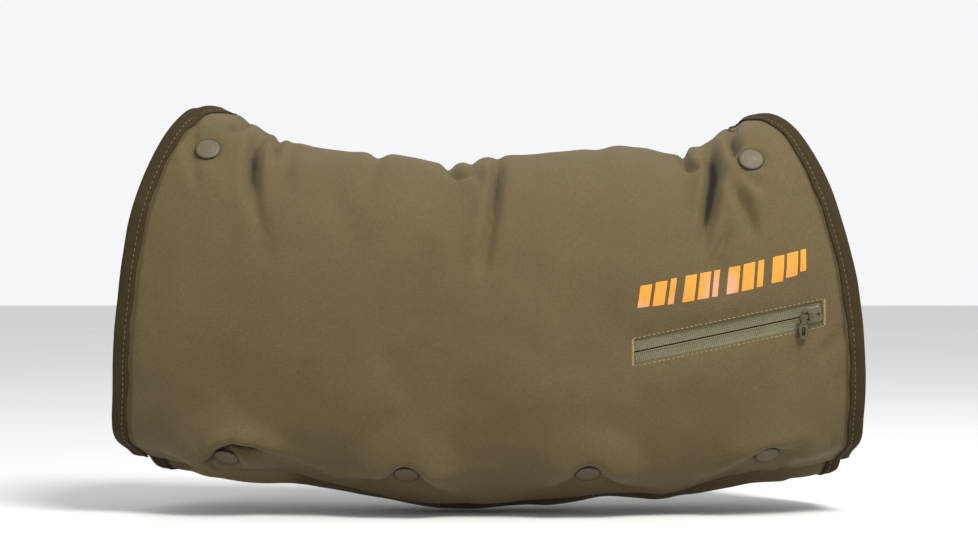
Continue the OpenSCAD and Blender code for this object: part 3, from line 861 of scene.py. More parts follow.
LINING = fleece_material()
BIND = tape_material("binding_tape", srgb(50, 41, 21), 0.8, 2.6, 0.00014, 0.85, 0.0)
ZIPTAPE = tape_material("zip_tape_cloth", srgb(101, 98, 76), 1.15, 1.25, 0.00022, 0.78, 0.08)
THREAD = thread_material("thread_tan", srgb(140, 118, 72))
THREAD_DARK = thread_material("thread_olive", srgb(84, 72, 46))
CAPMAT = metal_material("snap_cap_paint", srgb(80, 71, 47), 0.62, 0.0, None, 0.16, 0.0)
# painted shade: a near-black copy of the cap paint on the rolled rims, for the dark ring round each cap
RIM_SHADE = metal_material("snap_rim_painted_shade", srgb(30, 26, 16), 0.6, 0.1, None, 0.3)
STEEL = metal_material("snap_plate", srgb(168, 162, 146), 0.32, 0.95, srgb(96, 86, 62), 0.15)
BRASS = metal_material("snap_spring_brass", srgb(176, 138, 66), 0.3, 1.0, srgb(110, 84, 44), 0.2)
SLIDER = metal_material("zip_slider_paint", srgb(88, 82, 60), 0.4, 0.45, srgb(140, 132, 104), 0.3, 0.1)
TAB = metal_material("zip_tab_paint", srgb(78, 73, 52), 0.36, 0.5, srgb(150, 142, 112), 0.35, 0.15)
PADDING = cloth_material("padding_felt", srgb(214, 208, 192), 0.06, 0.1, 2.2, 0.0003, 0.95, 0.3, (1, 1, 1, 1))
POCKET = cloth_material("pocket_taffeta", srgb(70, 64, 44), 0.1, 0.05, 0.7, 0.00006, 0.62, 0.15)


def coil_material():
    m = Mat("zip_coil_nylon", 0.45, spec=0.5)
    tc = m.coord("Object")
    q = m.node("ShaderNodeVectorRotate", rotation_type="AXIS_ANGLE")
    ribs = m.wave(tc, 31.4 / 110, "X", 0.0)
    base = srgb(84, 80, 60)
    n = m.noise(tc, 500, 3)
    c = m.ramp(ribs, [(0.1, scaled(base, 0.45)), (0.6, base), (1.0, scaled(base, 1.3))])
    c = m.blend(m.span(n, 0.4, 0.7, 0, 0.4), c, scaled(base, 0.75))
    m.nt.nodes.remove(q)
    m.colour(c)
    m.bump(ribs, 0.0004)
    return m.m


COIL = coil_material()


def print_material():
    m = Mat("print_ink", 0.55, spec=0.35)
    uv = m.coord("UV")
    n = m.noise(uv, 9, 4, 0.6)
    scr = m.noise(m.coord("UV", (60, 14, 1), 0.5), 1.0, 3, 0.7)
    grain = m.noise(uv, 120, 2, 0.7)
    orange, pink = srgb(226, 138, 44), srgb(196, 142, 126)
    c = m.blend(m.span(m.noise(uv, 3.2, 2), 0.52, 0.66, 0, 0.9), orange, pink)
    c = m.blend(m.span(n, 0.35, 0.7, 0, 0.35), c, scaled(orange, 0.9))
    c = m.blend(m.span(m.math("MULTIPLY", scr, grain), 0.34, 0.42, 0, 0.75), c, scaled(BASE, 1.25))
    c = m.blend(m.span(grain, 0.3, 0.7, 0.0, 0.22), c, scaled(orange, 0.72))
    m.colour(c)
    m.bump(m.wave(uv, 30, "X", 1.2, 6), 0.00006)
    m.bump(grain, 0.00005)
    return m.m


INK = print_material()


def with_edge(inner, step_edge):
    """Offsets in from a bound edge, closer together at the edge, or a single 0."""
    e = np.array([0, 0.0022, 0.0046, 0.0085, 0.013, 0.018]) if step_edge else np.array([0.0])
    return e


def columns(n):
    left = np.linspace(-0.982, U_W0, max(3, int(n * (U_W0 + 0.982) / 1.964)))
    mid = np.linspace(U_W0, U_W1, max(3, int(n * (U_W1 - U_W0) / 1.964)))
    right = np.linspace(U_W1, 0.982, max(3, int(n * (0.982 - U_W1) / 1.964)))
    e = np.array([0, 0.0022, 0.0046, 0.0085, 0.013])
    u = np.concatenate([-1 + e, left, mid[1:], right[1:], 1 - e[::-1]])
    near = [U_W0 - 0.0016, U_W0 - 0.004, U_W1 + 0.0016, U_W1 + 0.004]
    u = np.unique(np.concatenate([u, near]))
    return u, int(np.argmin(abs(u - U_W0))), int(np.argmin(abs(u - U_W1)))


def front_rows(u, n):
    """t for each row and column: the rows beside the zip window follow its edges."""
    t0, t1 = -3.15, TOP_SEAM
    s_lo, s_hi = -0.46, -0.10
    a0, a1, b0, b1 = arc(t0), arc(t1), arc(s_lo), arc(s_hi)
    total = a1 - a0
    below = np.linspace(a0, b0, int(n * (b0 - a0) / total))
    window = np.linspace(b0, b1, max(5, int(n * (b1 - b0) / total)))
    above = np.linspace(b1, a1, int(n * (a1 - b1) / total))
    extra = [b0 - 0.45, b0 - 1.1, b1 + 0.45, b1 + 1.1, a0 + 0.35, a0 + 0.9]
    rows = np.unique(np.concatenate([below, window, above, extra]))
    s = np.interp(rows, _arc, _ts)
    j0, j1 = int(np.argmin(abs(rows - b0))), int(np.argmin(abs(rows - b1)))
    lo, hi = zip_row(u, -W_HALF), zip_row(u, W_HALF)
    w = sm(-0.35, 0.33, u)
    lo, hi = mix(s_lo, lo, w), mix(s_hi, hi, w)
    t = np.empty((len(u), len(s)))
    for i in range(len(u)):
        t[i] = np.interp(s, [t0, s_lo, s_hi, t1], [t0, lo[i], hi[i], t1])
    return t, j0, j1


def shading(u, t, free=1.0):
    """Painted shade down in the folds and under the binding's lip, and painted light where the lighter strip shows."""
    X, Y = unrolled(u, t)
    # painted shade in the deep folds
    fold_shade = 0.96 * sm(4.2, 8.8, -fold_relief(X, Y)) * free
    # painted shadow in a thin line under the binding's lip
    lip = 0.6 * (1 - sm(0.2, 1.3, np.abs((1 - np.abs(u)) * 190 - 8.4)))
    # painted light: the strip of back hem showing at the lower left is lifted, where it lies in shadow
    top = np.interp(X, [188, 200, 235, 262, 290, 330], [464, 470, 475, 473, 478, 483])
    strip_light = 0.95 * sm(-1.2, 1.2, Y - top) * (1 - sm(494, 500, Y)) * sm(184, 196, X) * (1 - sm(272, 305, X))
    return np.stack([np.maximum(fold_shade, lip), strip_light], -1)


def cloth_uv(u, t):
    p = surf(u, t)
    return np.stack([p[..., 0] / 100, arc(t) / 100], -1)


def edge_round(u, t, t0, t1, r):
    """How far the outer face falls to the edge, so that a cut or turned edge looks soft."""
    e = np.minimum(1 - np.abs(u), 1) * 190
    d = np.minimum(e, np.minimum(np.abs(arc(t) - arc(t0)), np.abs(arc(t) - arc(t1)) + 1e3))
    return r * (1 - np.sqrt(np.clip(d / (2 * r), 0, 1) * (2 - np.clip(d / (2 * r), 0, 1))))


def eased(R, times, keep=None):
    """The relief with its finest steps evened out, so that no crease shows the grid."""
    out = R.copy()
    for _ in range(times):
        p = np.pad(out, 1, mode="edge")
        new = (4 * out + 2 * (p[:-2, 1:-1] + p[2:, 1:-1] + p[1:-1, :-2] + p[1:-1, 2:])
               + p[:-2, :-2] + p[2:, 2:] + p[:-2, 2:] + p[2:, :-2]) / 16
        out = new if keep is None else mix(new, out, keep)
    return out


def simulate():
    """The shell as one simulated cloth: held at the bindings, hems, snaps and zip, blown out a little by the
    padding and cut a little too long near what holds it, so that it puckers there. Returns its offset, in mm."""
    nu, nt = 112, 160
    u = np.linspace(-0.99, 0.99, nu)
    a = np.linspace(arc(-3.15), arc(14.05), nt)
    U, T = np.meshgrid(u, np.interp(a, _arc, _ts), indexing="ij")
    R = eased(relief(U, T), 1)
    P = layer_point(U, T, lap(T), 1.0, R)
    N = outward(U, T)
    idx = np.arange(nu * nt).reshape(nu, nt)
    faces = np.stack([idx[:-1, :-1], idx[1:, :-1], idx[1:, 1:], idx[:-1, 1:]], -1).reshape(-1, 4)
    me = bpy.data.meshes.new("simulated")
    me.from_pydata((P.reshape(-1, 3) * MM).tolist(), [], faces.tolist())
    o = bpy.data.objects.new("simulated", me)
    bpy.context.scene.collection.objects.link(o)
    base = surf(U, T)
    edge = (1 - np.abs(U)) * 190
    near = np.full(U.shape, 99.0)
    for c in CAPS:
        near = np.minimum(near, np.linalg.norm(base - c, axis=-1))
    x, y, w = in_zip(base)
    e = np.where(np.abs(w) < 25, np.maximum(np.maximum(np.abs(x) - W_LONG, np.abs(y) - W_HALF), 0), 99)
    hems = np.minimum(np.abs(a[None, :] - a[0]), np.abs(a[None, :] - a[-1])) + 0 * U
    held = np.maximum.reduce([1 - sm(8.5, 12, edge), 1 - sm(8.5, 11.5, near), 1 - sm(1.0, 5, e), 1 - sm(2, 6, hems)])
    loose = np.maximum.reduce([np.exp(-(((edge - 15) / 10) ** 2)), np.exp(-(((near - 15) / 9) ** 2)), np.exp(-(((e - 9) / 6) ** 2)) * (e < 90),
                               0.8 * sm(60, 92, base[..., 2])])
    pin = o.vertex_groups.new(name="held")
    ease = o.vertex_groups.new(name="loose")
    weight = np.clip(np.maximum(held, 0.06), 0, 1).ravel()
    long = np.clip(loose * (1 - 0.5 * held), 0, 1).ravel()
    for k in range(len(weight)):
        pin.add([k], float(weight[k]), "REPLACE")
        ease.add([k], float(long[k]), "REPLACE")
    mod = o.modifiers.new("cloth", "CLOTH")
    c = mod.settings
    c.quality = 6
    c.mass = 0.3
    c.tension_stiffness = c.compression_stiffness = 18
    c.shear_stiffness = 8
    c.bending_stiffness = 0.35
    c.air_damping = 3
    c.vertex_group_mass = "held"
    c.pin_stiffness = 1.0
    c.vertex_group_shrink = "loose"
    c.shrink_min, c.shrink_max = -0.004, -0.055
    c.use_pressure = True
    c.uniform_pressure_force = 0.25
    c.effector_weights.gravity = 0
    mod.collision_settings.use_collision = False
    sc = bpy.context.scene
    for k in range(1, 21):
        sc.frame_set(k)
    ev = o.evaluated_get(bpy.context.evaluated_depsgraph_get())
    got = np.empty(nu * nt * 3, np.float32)
    ev.data.vertices.foreach_get("co", got)
    sc.frame_set(1)
    bpy.data.objects.remove(o)
    bpy.data.meshes.remove(me)
    move = got.reshape(nu, nt, 3) / MM - P
    d = (move * N).sum(-1)
    print("cloth moved, mm:", np.percentile(d, [1, 25, 50, 75, 99]).round(2).tolist(), "sideways", float(np.abs(move).max().round(2)))
    d = 3.2 * np.tanh(d / 3.2)
    d = eased(d, 1)
    return d * (1 - held), -0.99, 0.99, a[0], a[-1]


SIM["field"] = simulate()

cols, i0, i1 = columns(270)
T, j0, j1 = front_rows(cols, 172)
U = np.repeat(cols[:, None], T.shape[1], 1)
R = relief(U, T)
lip = in_zip(surf(U, T))
lip_e = np.maximum(np.abs(lip[0]) - W_LONG, np.abs(lip[1]) - W_HALF)
held = np.where((np.abs(lip[2]) < 25), 1 - sm(1, 6, lip_e), 0)
R = eased(R, 2, held)
roll = np.where((np.abs(lip[2]) < 25) & (lip_e > -2), 0.45 * np.exp(-np.maximum(lip_e, 0) / 0.5), 0)
hem_roll = 0.4 * np.exp(-(arc(T) - arc(-3.15)) / 0.6)
outer = layer_point(U, T, np.zeros_like(T), 1.0, R - roll - hem_roll)
inner = layer_point(U, T, np.full_like(T, SHELL_T), 1.0, R)
# painted shade in the folds and under the binding's lip, and painted light on the strip, kept as vertex values for the
# cloth material
extra = shading(U, T, 1 - held)
v, f, uv = slab(outer, inner, np.concatenate([cloth_uv(U, T), extra], -1), (i0, i1, j0, j1))
painted_light_and_shade, uv = uv[:, 2:], uv[:, :2]
shell_front = put("shell_front", v, f, SHELL, uv)
mark(shell_front, painted_light_and_shade[:, 0])
mark(shell_front, painted_light_and_shade[:, 1], "painted_light_strip")

tb = np.interp(np.linspace(arc(TOP_SEAM), arc(14.05), 124), _arc, _ts)
TB = np.repeat(tb[None, :], len(cols), 0)
UB = np.repeat(cols[:, None], len(tb), 1)
RB = eased(relief(UB, TB), 2)
outer = layer_point(UB, TB, lap(TB), 1.0, RB - 0.4 * np.exp(-(arc(14.05) - arc(TB)) / 0.8))
inner = layer_point(UB, TB, lap(TB) + SHELL_T, 1.0, RB)
# the same painted shade and painted light for the back panel
v, f, uv = slab(outer, inner, np.concatenate([cloth_uv(UB, TB), shading(UB, TB)], -1))
painted_light_and_shade, uv = uv[:, 2:], uv[:, :2]
shell_back = put("shell_back", v, f, SHELL, uv)
mark(shell_back, painted_light_and_shade[:, 0])
mark(shell_back, painted_light_and_shade[:, 1], "painted_light_strip")


def coarse(n_u, n_t, t0, t1):
    e = np.array([0, 0.006, 0.014])
    u = np.unique(np.concatenate([-1 + e, np.linspace(-0.975, 0.975, n_u), 1 - e]))
    t = np.interp(np.linspace(arc(t0), arc(t1), n_t), _arc, _ts)
    return np.meshgrid(u, t, indexing="ij")


def soft(u, t, r=0.012, rt=0.10):
    """The relief as it reaches the layers below: slower, and never sharper than the padding lets through."""
    out = 0
    for du, dt, w in ((0, 0, 2), (r, 0, 1), (-r, 0, 1), (0, rt, 1), (0, -rt, 1), (r, rt, 0.6), (-r, -rt, 0.6), (r, -rt, 0.6), (-r, rt, 0.6)):
        out = out + w * relief(np.clip(u + du, -1, 1), t + dt)
    return out / 8.4


def pushed(u, t, d):
    """How far a fold carries the lining inward: a third of the fold, or all that the padding can't take."""
    low = np.minimum.reduce([relief(np.clip(u + a, -1, 1), t + b) for a, b in ((0, 0), (0.012, 0), (-0.012, 0), (0, 0.08), (0, -0.08))])
    a, b = 0.32 * np.maximum(-d, 0), -low - (pad(u, t) - 1.5)
    return a + 0.5 * np.log1p(np.exp(np.clip((b - a) / 0.5, -30, 30))), low


def linings(name, n_t, t0, t1):
    u, t = coarse(150, n_t, t0, t1)
    d = soft(u, t)
    squeeze_in = 0.9 * waves(surf(u, t)[..., 0], arc(t), 11, [38, 19], [0.8, 0.35]) * (1 - hem(t)) * sm(0.0, 0.05, 1 - np.abs(u))
    depth = lap(t) + SHELL_T + GAP + pad(u, t) + GAP
    share = -pushed(u, t, d)[0]
    a = layer_point(u, t, depth + np.maximum(squeeze_in, -0.1), 1.0, share)
    b = layer_point(u, t, depth + np.maximum(squeeze_in, -0.1) + LINING_T, 1.0, share)
    v, f, uv = slab(a, b, cloth_uv(u, t))
    return put(name, v, f, LINING, uv)


lining_front = linings("lining_front", 84, -3.15, TOP_SEAM)
lining_back = linings("lining_back", 112, TOP_SEAM, 14.05)


def facing(name, t0, out):
    """The shell's turned edge, that closes the open hem from the shell to the lining. out is the way off the hem."""
    u = cols[2:-2, None]
    t = np.full_like(u, t0)
    d = soft(u, t)
    share = -pushed(u, t, d)[0]
    ripple = np.maximum(0.9 * waves(surf(u, t)[..., 0], arc(t), 11, [38, 19], [0.8, 0.35]) * (1 - hem(t)) * sm(0.0, 0.05, 1 - np.abs(u)), -0.1)
    depth = lap(t) + SHELL_T + GAP + pad(u, t) + GAP + LINING_T
    a = layer_point(u, t, lap(t) + 0.25, 1.0, relief(u, t) - 0.4)[:, 0]
    b = layer_point(u, t, depth + ripple - 0.1, 1.0, share)[:, 0]
    along = surf(u, t + 0.02 * out)[:, 0] - surf(u, t)[:, 0]
    along = along / np.linalg.norm(along, axis=-1, keepdims=True)
    k = np.linspace(0, 1, 7)[None, :, None]
    face = a[:, None] * (1 - k) + b[:, None] * k + along[:, None] * (0.12 + 0.5 * np.sin(np.pi * k))
    v, f, uv = slab(face, face - along[:, None] * 0.34, np.stack([u + 0 * k[..., 0], 0 * u + 0.04 * k[..., 0]], -1))
    if out < 0:
        f = f[:, ::-1]
    return put(name, v, f, SHELL, uv)


facing_front = facing("hem_facing_front", -3.15, -1)
facing_back = facing("hem_facing_back", 14.05, 1)


def paddings(name, n_t, t0, t1):
    u, t = coarse(120, n_t, t0, t1)
    d = soft(u, t)
    push, low = pushed(u, t, d)
    thick = pad(u, t)
    top = lap(t) + SHELL_T + GAP + pocket(u, t)
    bottom = lap(t) + SHELL_T + GAP + thick
    share_top = np.minimum(low - 0.15, d)
    share_low = -push
    top_at = np.minimum(top - share_top, bottom - share_low - 0.45)
    a = layer_point(u, t, top_at, 0.0, d)
    b = layer_point(u, t, bottom - share_low, 0.0, d)
    v, f, uv = slab(a, b, cloth_uv(u, t))
    return put(name, v, f, PADDING, uv)


padding_front = paddings("padding_front", 84, -3.12, TOP_SEAM - 0.01)
padding_back = paddings("padding_back", 112, TOP_SEAM + 0.01, 14.02)


# ---------------------------------------------------------------- bindings
def binding(name, side, t0, t1):
    """The tape folded round a cuff's raw edge, following the cloth under it."""
    n = int((arc(t1) - arc(t0)) / 1.25)
    t = np.interp(np.linspace(arc(t0), arc(t1), n), _arc, _ts)
    s = section(t)
    r = reach(s)
    b = arc(t)
    thick = SHELL_T + GAP + pad(np.full_like(t, side), t) + GAP + LINING_T
    wob = 0.28 * np.sin(b / 4.3 + 1.3 * np.sin(b / 17)) + 0.22 * np.sin(b / 11.0 + side)
    puck = 0.10 * np.sin(2 * np.pi * b / 6.6 + 2 * np.sin(b / 23)) + 0.05 * np.sin(2 * np.pi * b / 3.1)
    c, bt, wd = 0.30, 0.75, 8.0
    # profile: (along the panel from its edge, depth below the outer face), round the folded tape
    outer_leg = [(wd, -c - bt * 0.35), (wd - 0.25, -c - bt * 0.8), (wd - 0.8, -c - bt - 0.10), (wd - 1.7, -c - bt - 0.05), (wd - 2.6, -c - bt + 0.18),
                 (wd - 3.6, -c - bt - 0.02), (wd - 5.2, -c - bt - 0.12), (2.0, -c - bt - 0.12), (0.7, -c - bt)]
    rings = []
    rel = [relief(np.clip(side * (1 - w / r), -1, 1), t) for w in (0.0, 2.0, 5.0, 8.0)]

    def rel_at(w):
        return np.interp(np.clip(w, 0, 8), [0, 2, 5, 8], [0, 1, 2, 3]), w

    def point(w, depth, bend):
        q = np.clip(w, 0, 8)
        k = np.searchsorted([2.0, 5.0], q)
        lo, hi = [0.0, 2.0, 5.0][k], [2.0, 5.0, 8.0][k]
        d = mix(rel[k], rel[k + 1], (q - lo) / (hi - lo))
        u = side * (1 - (w + (wob * sm(5.0, 8.0, w))) / r)
        p = surf(u, t)
        return p + settle(np.clip(u, -1, 1), t, p) - (lap(t) + depth - bend * d)[..., None] * outward(u, t)

    pts = [point(w, dd - puck * sm(0, 2, w), 1.0) for w, dd in outer_leg]
    for k in range(1, 8):
        a = math.pi * k / 8
        dd = thick * (1 - math.cos(a)) / 2 + (c + bt * 0.9) * (-math.cos(a))
        w = 0.35 - (0.35 + bt + 0.75) * math.sin(a) ** 0.7
        pts.append(point(w, dd, 1.0 - 0.6 * k / 8))
    inner_leg = [(0.7, c + bt), (2.0, c + bt + 0.1), (wd - 5.2, c + bt + 0.1), (wd - 2.6, c + bt - 0.15), (wd - 0.8, c + bt), (wd, c + bt * 0.4), (wd, c)]
    for w, dd in inner_leg:
        pts.append(point(w, thick + dd + 0 * puck, 0.34))
    pts.append(point(0.9, thick + c, 0.34))
    pts.append(point(-0.25, thick * 0.5, 0.6))
    pts.append(point(0.9, -c, 1.0))
    pts.append(point(wd, -c, 1.0))
    P = np.stack(pts, 1)
    m = P.shape[1]
    verts = P.reshape(-1, 3)
    idx = np.arange(n * m).reshape(n, m)
    nx = np.roll(idx, -1, 1)
    quads = np.stack([idx[:-1], nx[:-1], nx[1:], idx[1:]], -1).reshape(-1, 4)
    cap0, cap1 = idx[0].tolist(), idx[-1].tolist()
    if side > 0:
        quads = quads[:, ::-1]
        faces = quads.tolist() + [cap0, cap1[::-1]]
    else:
        faces = quads.tolist() + [cap0[::-1], cap1]
    across = np.concatenate([[0], np.cumsum(np.linalg.norm(np.diff(P[n // 2], axis=0), axis=1))])
    uvs = np.stack([np.repeat(b[:, None], m, 1) / 100, np.repeat(across[None, :], n, 0) / 100], -1).reshape(-1, 2)
    o = put(name, verts, faces, BIND, uvs, sharp=50)
    line = point(wd - 2.6, -c - bt + 0.12, 1.0)
    nn = outward(np.full_like(t, side * 0.96), t)
    line_in = point(wd - 2.6, thick + c + bt - 0.12, 0.34)
    sv = stitches(line, nn, 3.3, 2.5, 0.27, 0.06, 0.03, 5)
    si = stitches(line_in, -nn, 3.3, 2.5, 0.27, 0.06, 0.03, 6)
    v2, f2, _ = join_parts([sv, si])
    st = put(name + "_stitches", v2, f2, THREAD_DARK, None, sharp=0)
    return o, st


bind = {}
for label, side in (("left", -1.0), ("right", 1.0)):
    bind["front_" + label] = binding(f"binding_front_{label}", side, -3.15, TOP_SEAM)
    bind["back_" + label] = binding(f"binding_back_{label}", side, TOP_SEAM, 14.05)

# ---------------------------------------------------------------- zip
def zip_tape(name, side):
    x = np.linspace(-57.5, 57.5, 150)
    y = np.array([0.32, 0.34, 0.5, 0.8, 1.1, 1.35, 1.6, 2.2, 2.5, 2.8, 3.4, 4.0, 4.5, 5.0, 5.5, 6.0, 6.5, 7.0, 8.0, 9.5, 11.0])
    Xg, Yg = np.meshgrid(x, y, indexing="ij")
    under = skin_w(Xg, side * Yg) - lip_dip(Xg) * (1 - sm(0, 7, Yg - 6.5)) - SHELL_T - 0.12
    w = mix(-2.82, under, sm(4.4, 6.4, Yg))
    cord = 0.24 * np.exp(-(((Yg - 1.0) / 0.34) ** 2)) - 0.16 * np.exp(-(((Yg - 1.75) / 0.3) ** 2)) - 0.10 * np.exp(-(((Yg - 2.65) / 0.25) ** 2))
    w = np.minimum(w + cord * (1 - sm(4, 5, Yg)) - 0.04, np.where(Yg < 4.6, -2.74, 9))
    edge = 0.18 * np.exp(-np.minimum(57.5 - np.abs(Xg), Yg - 0.3) / 0.2)
    a = zip_to(Xg, side * Yg, w - edge)
    b = zip_to(Xg, side * Yg, w - 0.5)
    uv = np.stack([Xg / 100, side * Yg / 100], -1)
    if side < 0:
        a, b, uv = a[:, ::-1], b[:, ::-1], uv[:, ::-1]
    v, f, uvs = slab(a, b, uv)
    o = put(name, v, f, ZIPTAPE, uvs)
    return o


tape_upper, tape_lower = zip_tape("zip_tape_top", 1), zip_tape("zip_tape_bottom", -1)


def zip_line(points, rise):
    """Points on the shell at places of the zip's frame."""
    q = np.array(points, float)
    w = skin_w(q[:, 0], q[:, 1])
    e = np.maximum(np.abs(q[:, 0]) - W_LONG, np.abs(q[:, 1]) - W_HALF)
    return zip_to(q[:, 0], q[:, 1], w - lip_dip(q[:, 0]) * (1 - sm(0, 7, e)) + rise)


def rect_path(x0, x1, y, step=1.0):
    lean = math.tan(math.radians(11.2))
    sh = lambda px, py: px + py * lean
    top = [(sh(v, y), y) for v in np.arange(x0, x1 + 0.01, step)]
    right = [(sh(x1, v), v) for v in np.arange(y, -y - 0.01, -step)]
    bottom = [(sh(v, -y), -y) for v in np.arange(x1, x0 - 0.01, -step)]
    left = [(sh(x0, v), v) for v in np.arange(-y, y + 0.01, step)]
    return [top, right, bottom, left]


parts = []
for k, side_path in enumerate(rect_path(-W_LONG - 1.2, W_LONG + 1.2, W_HALF + 1.1)):
    parts.append(stitches(zip_line(side_path, 0.03), np.repeat(ZN[None], len(side_path), 0), 2.7 if k % 2 == 0 else 2.2, 2.1, 0.24, 0.0, 0.05, 20 + k))
v, f, _ = join_parts(parts)
zip_stitch = put("zip_window_stitches", v, f, THREAD, None, sharp=0)


def bartack(x):
    rows = []
    for i, y in enumerate(np.linspace(-W_HALF - 0.6, W_HALF + 0.6, 27)):
        q = np.array([(x - 0.9 + 0.198 * y, y), (x + 0.9 + 0.198 * y, y + 0.25)])
        rows.append(stitches(zip_line(q, 0.05), np.repeat(ZN[None], 2, 0), 1.8, 1.9, 0.25, 0.0, 0.08 * (-1) ** i, 40 + i))
    return rows


v, f, _ = join_parts(bartack(-W_LONG - 0.9) + bartack(W_LONG + 1.1))
bartacks = put("zip_bartacks", v, f, THREAD, None, sharp=0)


def prism(outline, z0, z1, r=0.25, dome=0.0):
    """A plate with rounded rims, from an outline that runs counterclockwise."""
    o = np.array(outline, float)
    c = o.mean(0)
    nrm = np.stack([np.roll(o, -1, 0)[:, 1] - np.roll(o, 1, 0)[:, 1], -(np.roll(o, -1, 0)[:, 0] - np.roll(o, 1, 0)[:, 0])], -1)
    nrm = nrm / np.maximum(np.linalg.norm(nrm, axis=1, keepdims=True), 1e-9)
    rings = []
    for a in np.linspace(0, 90, 4):
        q = math.radians(a)
        rings.append((o - nrm * r * (1 - math.sin(q)), z0 + r * (1 - math.cos(q))))
    for a in np.linspace(90, 0, 4):
        q = math.radians(a)
        rings.append((o - nrm * r * (1 - math.sin(q)), z1 - r * (1 - math.cos(q))))
    size = np.abs(o - c).max()
    for k in (0.75, 0.5, 0.25):
        rings.append((c + (o - nrm * r - c) * k, z1 + dome * (1 - k * k)))
    verts, faces, n = [], [], len(o)
    for xy, z in rings:
        verts += [(x, y, z) for x, y in xy]
    for k in range(len(rings) - 1):
        for i in range(n):
            j = (i + 1) % n
            faces.append([k * n + i, k * n + j, (k + 1) * n + j, (k + 1) * n + i])
    faces.append(list(range(n))[::-1])
    verts.append((c[0], c[1], z1 + dome))
    last, e = (len(rings) - 1) * n, len(verts) - 1
    for i in range(n):
        faces.append([last + i, last + (i + 1) % n, e])
    return np.array(verts), faces


def rounded(points, r=0.6, n=5):
    """The outline with each corner turned on a small arc."""
    out = []
    p = np.array(points, float)
    for i in range(len(p)):
        a, b, c = p[i - 1], p[i], p[(i + 1) % len(p)]
        da, dc = unit(a - b), unit(c - b)
        rr = min(r, 0.45 * np.linalg.norm(a - b), 0.45 * np.linalg.norm(c - b))
        s, e = b + da * rr, b + dc * rr
        for k in np.linspace(0, 1, n):
            out.append((1 - k) ** 2 * s + 2 * k * (1 - k) * b + k * k * e)
    return out


def rod(a, b, r, seg=20, round_ends=True):
    a, b = np.array(a, float), np.array(b, float)
    d = unit(b - a)
    x = np.array([0, 0, 1.0]) if abs(d[2]) < 0.8 else np.array([1.0, 0, 0])
    l = np.linalg.norm(b - a)
    k = 0.15 * r if round_ends else 0
    v, f = lathe([(0, 0), (r - k, 0), (r, k), (r, l - k), (r - k, l), (0, l)][::1], seg)
    f = [q[::-1] for q in f]
    return placed(v, basis(a, d, x)), f


def in_zip_frame(part, dx=0.0, dy=0.0, dw=0.0, turn=0.0):
    v, *rest = part
    c, s = math.cos(math.radians(turn)), math.sin(math.radians(turn))
    q = np.stack([v[:, 0] * c - v[:, 1] * s + dx, v[:, 0] * s + v[:, 1] * c + dy, v[:, 2] + dw], -1)
    return (zip_to(q[:, 0], q[:, 1], q[:, 2]), *rest)


SX, PIN_X, PIN_W, LINK = 49.0, -2.4, 1.5, 4.2
plate = [(-5.6, -2.8), (-5.1, -3.4), (-2.2, -4.5), (3.4, -4.5), (5.1, -4.1), (5.6, -3.5), (5.6, 3.5), (5.1, 4.1), (3.4, 4.5), (-2.2, 4.5), (-5.1, 3.4), (-5.6, 2.8)]
boss = [(0.4, -2.6), (4.4, -2.2), (4.4, 2.2), (0.4, 2.6)]
parts = [
    in_zip_frame(prism(rounded(plate, 0.8), -2.68, -1.1, 0.35, 0.28), SX),
    in_zip_frame(prism(rounded(plate, 0.8), -7.38, -6.32, 0.3), SX),
    in_zip_frame(prism(rounded([(2.4, -0.4), (5.5, -0.4), (5.5, 0.4), (2.4, 0.4)], 0.2, 3), -6.6, -2.4, 0.12), SX),
]
for s in (-1, 1):
    y0, y1 = sorted((s * 3.62, s * 4.48))
    parts.append(in_zip_frame(prism(rounded([(-2.1, y0), (3.3, y0), (3.3, y1), (-2.1, y1)], 0.2, 3), -6.6, -2.5, 0.15), SX))
    y0, y1 = sorted((s * 1.52, s * 2.38))
    ear = prism(rounded([(-1.35, -2.4), (1.35, -2.4), (1.35, 0.6), (0.6, 1.35), (-0.6, 1.35), (-1.35, 0.6)], 0.5, 4), y0, y1, 0.15)
    v, f = ear
    v = np.stack([v[:, 0], -v[:, 2] if False else v[:, 2], v[:, 1]], -1)
    parts.append(in_zip_frame((v, [q[::-1] for q in f]), SX + PIN_X, 0, PIN_W))
parts.append(in_zip_frame(rod((PIN_X, -2.2, PIN_W), (PIN_X, 2.2, PIN_W), 0.75), SX))
v, f, _ = join_parts(parts)
slider = put("slider_body", v, f, SLIDER, None, sharp=35)
# the three-cornered hole in the shield, drawn as a dark plate of painted shade, with a raised frame round it
tri = [(1.3, 0.0), (4.0, -1.5), (4.0, 1.5)]
hole = in_zip_frame(prism(rounded(tri[::1], 0.4, 4), -1.05, -0.79, 0.05), SX)
HOLE_SHADE = metal_material("slider_hole_painted_shade", srgb(16, 14, 9), 0.7, 0.1, None, 0.2)
v, f = hole
slider_hole = put("slider_hole", v, f, HOLE_SHADE, None, sharp=35)
rim_parts = []
for a, b in ((tri[0], tri[1]), (tri[1], tri[2]), (tri[2], tri[0])):
    rim_parts.append(in_zip_frame(rod((a[0], a[1], -0.86), (b[0], b[1], -0.86), 0.24, 12), SX))
v, f, _ = join_parts(rim_parts)
slider_rim = put("slider_hole_rim", v, f, SLIDER, None, sharp=35)

# the link and the tab keep their CAD shapes; the snap caps are turned, with a domed face and a raised rim
caps_profile = [(0, 1.72), (1.6, 1.70), (3.0, 1.63), (4.0, 1.55), (4.25, 1.47), (4.4, 1.44), (4.6, 1.46), (4.85, 1.50),
                (5.6, 1.37), (6.3, 1.14), (6.75, 0.92)]
rim_profile = [(6.75, 0.92), (6.85, 0.98), (7.1, 0.98), (7.35, 0.84), (7.5, 0.6), (7.45, 0.3), (7.2, 0.1), (6.9, 0.05)]


